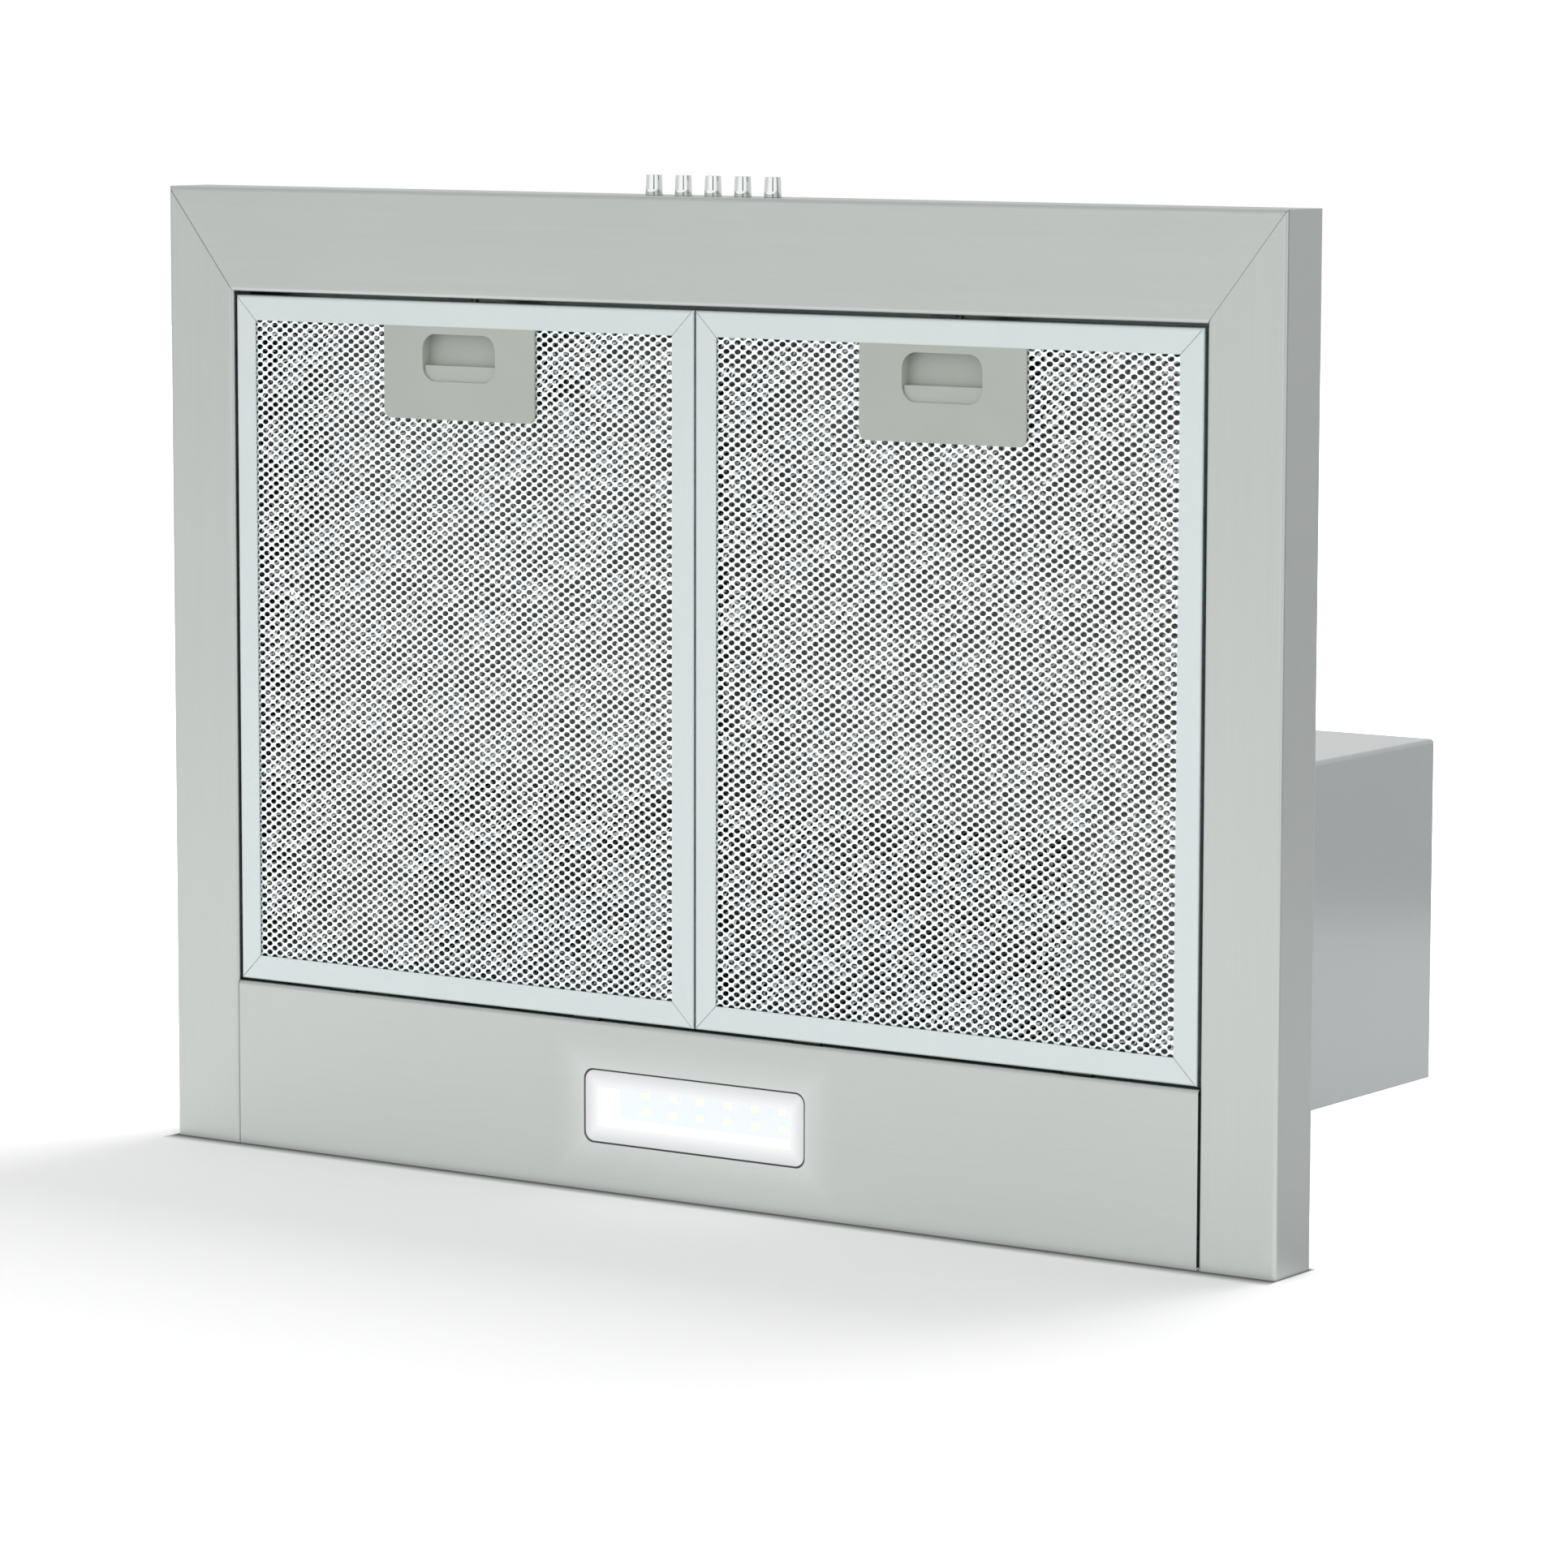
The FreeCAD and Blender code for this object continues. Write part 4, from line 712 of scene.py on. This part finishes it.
def latticeSheet(low, high, z, settings):
    # Fits whole diamonds into a rectangle seen from below
    hole = settings["hole"]
    columns = math.ceil((high[0] - low[0]) / settings["pitch"][0])
    rows = math.ceil((high[1] - low[1]) / settings["pitch"][1])
    pitch = ((high[0] - low[0]) / columns, (high[1] - low[1]) / rows)
    cell = meshCell(pitch, hole)
    mesh = cell.data

    def onHole(vertex):
        return (vertex.co.x / hole[0]) ** 2 + (vertex.co.y / hole[1]) ** 2 < 1.05

    # Strands stand aslant about their middle: each hole's rear side is nearer the cook than its front side
    for vertex in mesh.vertices:
        slant = settings["twist"] * math.sin(vertex.co.y / pitch[1] * 2 * math.pi)
        vertex.co.z = -slant if onHole(vertex) else 0
    if settings["depth"]:
        editAll(cell)
        bpy.ops.mesh.select_all(action="DESELECT")
        leaveEdit()
        bpy.context.tool_settings.mesh_select_mode = (False, True, False)
        for edge in mesh.edges:
            edge.select = all(onHole(mesh.vertices[i]) for i in edge.vertices)
        bpy.ops.object.mode_set(mode="EDIT")
        bpy.ops.mesh.extrude_region_move(TRANSFORM_OT_translate={"value": (0, 0, settings["depth"])})
        bpy.ops.transform.resize(value=(settings["flare"], settings["flare"], 1))
        leaveEdit()
    editAll(cell)
    bpy.ops.mesh.duplicate_move(TRANSFORM_OT_translate={"value": (pitch[0] / 2, pitch[1] / 2, 0)})
    bpy.ops.mesh.select_all(action="SELECT")
    bpy.ops.mesh.remove_doubles(threshold=stepSet["merge"])
    bpy.ops.mesh.normals_make_consistent(inside=False)
    leaveEdit()
    for axis, count in ((0, columns), (1, rows)):
        step = [0, 0, 0]
        step[axis] = pitch[axis]
        useModifier(
            cell, "ARRAY", count=count, use_relative_offset=False, use_constant_offset=True,
            constant_offset_displace=step, use_merge_vertices=True, merge_threshold=stepSet["merge"],
        )
    cell.location = (low[0], low[1], z)
    placeMesh(cell)
    return cell


def cutAway(piece, low, high):
    # Takes out the faces whose middle lies in a rectangle seen from below
    selectFaces(piece, lambda face: low[0] < face.center.x < high[0] and low[1] < face.center.y < high[1])
    bpy.ops.mesh.delete(type="FACE")
    leaveEdit()


def crumple(piece, height, drift, size):
    # The inner layers are never flat, and their strands wander
    waves = (("Z", height, size), ("X", drift, 0.8 * size), ("Y", drift, 1.3 * size))
    for direction, strength, scale in waves:
        if strength:
            cloud = bpy.data.textures.new("crumple" + direction, "CLOUDS")
            cloud.noise_scale = scale
            useModifier(
                piece, "DISPLACE", texture=cloud, texture_coords="LOCAL",
                direction=direction, strength=strength, mid_level=0.5,
            )


for side in sides:
    faceLow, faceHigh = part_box("filter_face_mesh_" + side)
    latchLow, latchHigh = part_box("filter_latch_" + side)
    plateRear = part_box("filter_handle_" + side)[1].y
    margin = meshSet["margin"]
    low = (faceLow.x + margin, faceLow.y + margin)
    high = (faceHigh.x - margin, faceHigh.y - margin)
    pocketLow = (latchLow.x - margin, faceLow.y - margin)
    pocketHigh = (latchHigh.x + margin, plateRear - margin)
    sheet = latticeSheet(low, high, faceLow.z + meshSet["twist"], meshSet)
    cutAway(sheet, pocketLow, pocketHigh)
    node = "filter_face_mesh_" + side
    finishPiece(sheet, side + "FaceMesh", node, finishOf[node], meshSet["smoothAngle"])
    for layer, settings in innerSet.items():
        inner = latticeSheet(low, high, faceLow.z + settings["rise"], settings)
        crumple(inner, settings["crumple"], settings["drift"], meshSet["crumpleSize"])
        if layer == "core":
            cutAway(inner, pocketLow, pocketHigh)
        node = "filter_" + layer + "_mesh_" + side
        finishPiece(inner, side + layer.title() + "Mesh", node, finishOf[node], meshSet["smoothAngle"])
    print(side, "meshes:", len(sheet.data.polygons), "faces on the face")


# Push buttons: turned from one disc, from the end of the stem to the tip
buttonSet = {
    "sides": 48,
    "stem": 2.5 * mm,
    "stemTip": 0.85,
    "stemTaper": 0.4 * mm,
    "collar": 5.5 * mm,
    "collarWall": 1.5 * mm,
    "neck": 3.5 * mm,
    "neckWall": 0.3 * mm,
    "base": 3.9 * mm,
    "tip": 3.5 * mm,
    "capLength": 10.0 * mm,
    "edge": 0.12 * mm,
    "edgeAngle": 80,
    "tipRound": 0.8 * mm,
    "dishRim": 0.5 * mm,
    "dish": 0.12 * mm,
    "smoothAngle": 40,
}


def turned(profile, sides):
    # Solid of revolution about the Y axis: a disc drawn out in steps of (place, radius)
    (y, radius), rest = profile[0], profile[1:]
    bpy.ops.object.select_all(action="DESELECT")
    bpy.ops.mesh.primitive_circle_add(
        vertices=sides, radius=radius, fill_type="NGON", location=(0, y, 0), rotation=(math.pi / 2, 0, 0),
    )
    piece = bpy.context.active_object
    placeMesh(piece)
    editAll(piece)
    for nextY, nextRadius in rest:
        bpy.ops.mesh.extrude_region_move(TRANSFORM_OT_translate={"value": (0, nextY - y, 0)})
        factor = nextRadius / radius
        bpy.ops.transform.resize(value=(factor, 1, factor), center_override=(0, nextY, 0))
        y, radius = nextY, nextRadius
    bpy.ops.mesh.select_all(action="SELECT")
    bpy.ops.mesh.normals_make_consistent(inside=False)
    leaveEdit()
    return piece


def makeButton(settings):
    tip, end = (corner.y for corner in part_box("button_off"))
    capEnd = tip + settings["capLength"]
    collarFront = capEnd + settings["neckWall"]
    collarRear = collarFront + settings["collarWall"]
    button = turned((
        (end, settings["stem"] * settings["stemTip"]),
        (end - settings["stemTaper"], settings["stem"]),
        (collarRear, settings["stem"]),
        (collarRear, settings["collar"]),
        (collarFront, settings["collar"]),
        (collarFront, settings["neck"]),
        (capEnd, settings["neck"]),
        (capEnd, settings["base"]),
        (tip, settings["tip"]),
    ), settings["sides"])
    useModifier(
        button, "BEVEL", width=settings["edge"], segments=2, limit_method="ANGLE",
        angle_limit=math.radians(settings["edgeAngle"]),
    )
    # The tip: rounded over and slightly dished
    selectFaces(button, lambda face: face.center.y < tip + hair and face.normal.y < -stepSet["facing"])
    bpy.ops.mesh.inset(thickness=settings["tipRound"])
    bpy.ops.mesh.inset(thickness=settings["dishRim"])
    bpy.ops.transform.translate(value=(0, settings["dish"], 0))
    leaveEdit()
    return button


button = makeButton(buttonSet)
for name in ("button_off", "button_speed_1", "button_speed_2", "button_speed_3", "button_light"):
    low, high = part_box(name)
    pick(button)
    bpy.ops.object.duplicate()
    cap = bpy.context.active_object
    cap.location = ((low.x + high.x) / 2, 0, (low.z + high.z) / 2)
    finishPiece(cap, pieceName(name), name, finishOf[name], buttonSet["smoothAngle"])
bpy.data.objects.remove(button)
print("buttons made")


# Pan-head screws with a cross recess, one for each screw of the CAD
screwSet = {
    "sides": 24,
    "head": 3.8 * mm,
    "headHeight": 2.0 * mm,
    "crown": ((0.45, 1.0), (0.75, 0.92), (0.93, 0.72), (1.0, 0.4)),
    "shank": 1.9 * mm,
    "length": 6.0 * mm,
    "point": 0.6,
    "pointLength": 0.8 * mm,
    "recess": 4.2 * mm,
    "recessWidth": 0.9 * mm,
    "recessDepth": 1.1 * mm,
    "headFrom": 3.0 * mm,
    "smoothAngle": 35,
}


def makeScrew(settings):
    head, top = settings["head"], settings["headHeight"]
    length, shank = settings["length"], settings["shank"]
    profile = [
        (length, shank * settings["point"]),
        (length - settings["pointLength"], shank),
        (0, shank),
        (0, head),
    ]
    profile += [(-top * up, head * out) for up, out in settings["crown"]]
    screw = turned(profile, settings["sides"])
    arms = (settings["recess"], settings["recessWidth"])
    for wide, tall in (arms, arms[::-1]):
        bpy.ops.object.select_all(action="DESELECT")
        bpy.ops.mesh.primitive_cube_add(size=1, location=(0, -top, 0))
        blade = bpy.context.active_object
        blade.scale = (wide, settings["recessDepth"] * 2, tall)
        placeMesh(blade)
        useModifier(screw, "BOOLEAN", object=blade, operation="DIFFERENCE", solver="EXACT")
        bpy.data.objects.remove(blade)
    return screw


def offAxis(gap, axis):  # how long a gap is across an axis
    return math.hypot(*(gap[i] for i in range(3) if i != axis))


def screwPlaces(settings):
    # Each screw of the CAD: the middle of its seat and the way its head points
    loose = copyOf("screws")
    editAll(loose)
    bpy.ops.mesh.separate(type="LOOSE")
    leaveEdit()
    places = []
    for screw in list(bpy.context.selected_objects):
        corners = [vertex.co for vertex in screw.data.vertices]
        low = Vector([min(corner[i] for corner in corners) for i in range(3)])
        high = Vector([max(corner[i] for corner in corners) for i in range(3)])
        size = high - low
        axis = max(range(3), key=lambda i: size[i])
        middle = (low + high) / 2
        head = [corner[axis] for corner in corners if offAxis(corner - middle, axis) > settings["headFrom"]]
        way = 1 if sum(head) / len(head) > middle[axis] else -1
        seat = middle.copy()
        seat[axis] = (high if way > 0 else low)[axis] - way * settings["headHeight"]
        places.append((seat, Vector([way if i == axis else 0 for i in range(3)])))
        bpy.data.objects.remove(screw)
    return places


screw = makeScrew(screwSet)
for number, (seat, way) in enumerate(screwPlaces(screwSet), 1):
    pick(screw)
    bpy.ops.object.duplicate()
    placed = bpy.context.active_object
    placed.rotation_euler = Vector((0, -1, 0)).rotation_difference(way).to_euler()
    placed.location = seat
    finishPiece(placed, "screw" + str(number), "screws", finishOf["screws"], screwSet["smoothAngle"])
bpy.data.objects.remove(screw)
print("screws made:", number)


# The floor that the hood stands on. It keeps its shadow, and gloss sees it only as far as its far edge. It
# also has painted shadow where the canopy touches it, and painted light behind the canopy and, for gloss, in
# front of it
floorSet = {
    "size": 12.0,
    "below": 0.05 * mm,
    "contact": (1.5 * mm, 11 * mm, 0.12, 1),
    "contactSides": 6,
    "boost": 0.92,
    # Painted light on the floor: for the camera behind the canopy, for gloss in front of it
    "glow": (0.0, 0.05, 0.02, 1),
    "glossBoost": 0.60,
    "glossGlow": (-0.04, 0.01, 0.57, 0),
    "edgeWay": (0.568, 0.823),
    "edge": 1.087,
    "clouds": 6,
    "cloudTone": (0.99, 1),
}


def makeFloor(settings):
    bpy.ops.object.select_all(action="DESELECT")
    place = (0, cadBox[1].y + settings["below"], 0)
    bpy.ops.mesh.primitive_plane_add(size=settings["size"], location=place, rotation=(math.pi / 2, 0, 0))
    floor = bpy.context.active_object
    placeMesh(floor)
    floor.name = "Floor"
    paint = newPaint("floorPaint")
    camera = paint.add("ShaderNodeLightPath", out="Is Camera Ray")
    glossy = paint.add("ShaderNodeLightPath", out="Is Glossy Ray")
    back = paint.add("ShaderNodeNewGeometry", out="Backfacing")
    x, y, z = paint.axes()
    near = x * settings["edgeWay"][0] + z * settings["edgeWay"][1] < settings["edge"]
    # How far a spot lies outside the canopy's foot and the tower's; gloss under them sees through the floor
    canopyGap = paint.most(abs(x) - cadBox[1].x, cadBox[0].z - z, z)
    towerGap = paint.most(abs(x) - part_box("tower_shell")[1].x, z * -1, z - cadBox[1].z)
    near = near * (canopyGap > 0) * (towerGap > 0)
    # Painted shadow: the floor is coloured darker where the canopy touches it, less far out at its sides and
    # behind
    sideGap = (abs(x) - cadBox[1].x) * settings["contactSides"]
    contactShadowGap = paint.most(cadBox[0].z - z, sideGap, z * settings["contactSides"])
    contact = paint.clamped(contactShadowGap, *settings["contact"])
    tone = (settings["boost"] * camera + settings["glossBoost"] * (1 - camera)) * contact
    tone = tone * paint.clamped(paint.noise(settings["clouds"]), 0, 1, *settings["cloudTone"])
    lit = paint.add("ShaderNodeBsdfDiffuse", {}, {"Color": paint.between((0, 0, 0), (1, 1, 1), tone)})
    # Painted light: behind the canopy the floor shines white to the camera, and in front of it to gloss,
    # lifting the shade there
    behind = paint.clamped(z, *settings["glow"])
    before = paint.clamped(z, *settings["glossGlow"])
    glow = paint.add("ShaderNodeEmission", {}, {"Strength": behind * camera + before * glossy})
    seen = paint.add("ShaderNodeAddShader", {}, {0: lit, 1: glow})
    clear = paint.add("ShaderNodeBsdfTransparent")
    front = (camera + glossy * near) * (1 - back)
    paint.show(paint.add("ShaderNodeMixShader", {}, {0: front, 1: clear, 2: seen}))
    floor.data.materials.append(paint.owner)


makeFloor(floorSet)
print("floor made")


# World: white to the camera. For light and gloss its level changes round the hood, as in a studio:
# a narrow dark gap where the camera stands, a grey panel on the right and a darker room behind it
worldSet = {
    "peak": 1.1,
    "levels": (
        (0.0, 0.66), (0.097, 0.68), (0.20, 0.74), (0.33, 0.62), (0.39, 0.72), (0.42, 0.88),
        (0.48, 0.96), (0.575, 0.96), (0.581, 0.02), (0.611, 0.02), (0.617, 0.98), (0.70, 0.92),
        (0.762, 0.70), (0.775, 0.16), (0.805, 0.16), (0.82, 0.60), (0.903, 0.63), (1.0, 0.66),
    ),
    "low": (0.04, 0.15, 1.06, 0.86),
}


def makeWorld(settings):
    world = bpy.data.worlds.new("World")
    bpy.context.scene.world = world
    paint = Paint(world)
    camera = paint.add("ShaderNodeLightPath", out="Is Camera Ray")
    x, y, z = paint.axes("Generated")
    turn = paint.add("ShaderNodeMath", {"operation": "ARCTAN2"}, {0: x, 1: 0 - z}) / (2 * math.pi) + 0.5
    stops = [(place, (level, level, level)) for place, level in settings["levels"]]
    ring = paint.add("ShaderNodeValToRGB", {"stops": stops}, {0: turn})
    level = paint.add("ShaderNodeRGBToBW", {}, {0: ring}) * settings["peak"]
    level = level * paint.clamped(y, *settings["low"])
    strength = camera + (1 - camera) * level
    backdrop = paint.add("ShaderNodeBackground", {}, {"Color": (1, 1, 1, 1), "Strength": strength})
    paint.show(backdrop, "ShaderNodeOutputWorld")


makeWorld(worldSet)
print("world made")


# Softboxes: one faint from the cook's side, one behind and above that throws the shadow forwards
lightSet = {
    "frontSoftbox": {"place": (-0.7, -2.6, -1.2), "size": 1.6, "power": 8.0},
    "backSoftbox": {"place": (0.25, -2.0, 1.15), "size": 1.3, "power": 31.0},
}


def makeLight(name, settings):
    data = bpy.data.lights.new(name, "AREA")
    data.size = settings["size"]
    data.energy = settings["power"]
    light = bpy.data.objects.new(name, data)
    bpy.context.scene.collection.objects.link(light)
    light.location = settings["place"]
    light.visible_glossy = False  # metal sees only the world, so no hot spots
    light.rotation_euler = (-light.location).to_track_quat("-Z", "Y").to_euler()


for name, settings in lightSet.items():
    makeLight(name, settings)
print("lights made:", len(lightSet))
bpy.context.scene.view_settings.view_transform = "Standard"
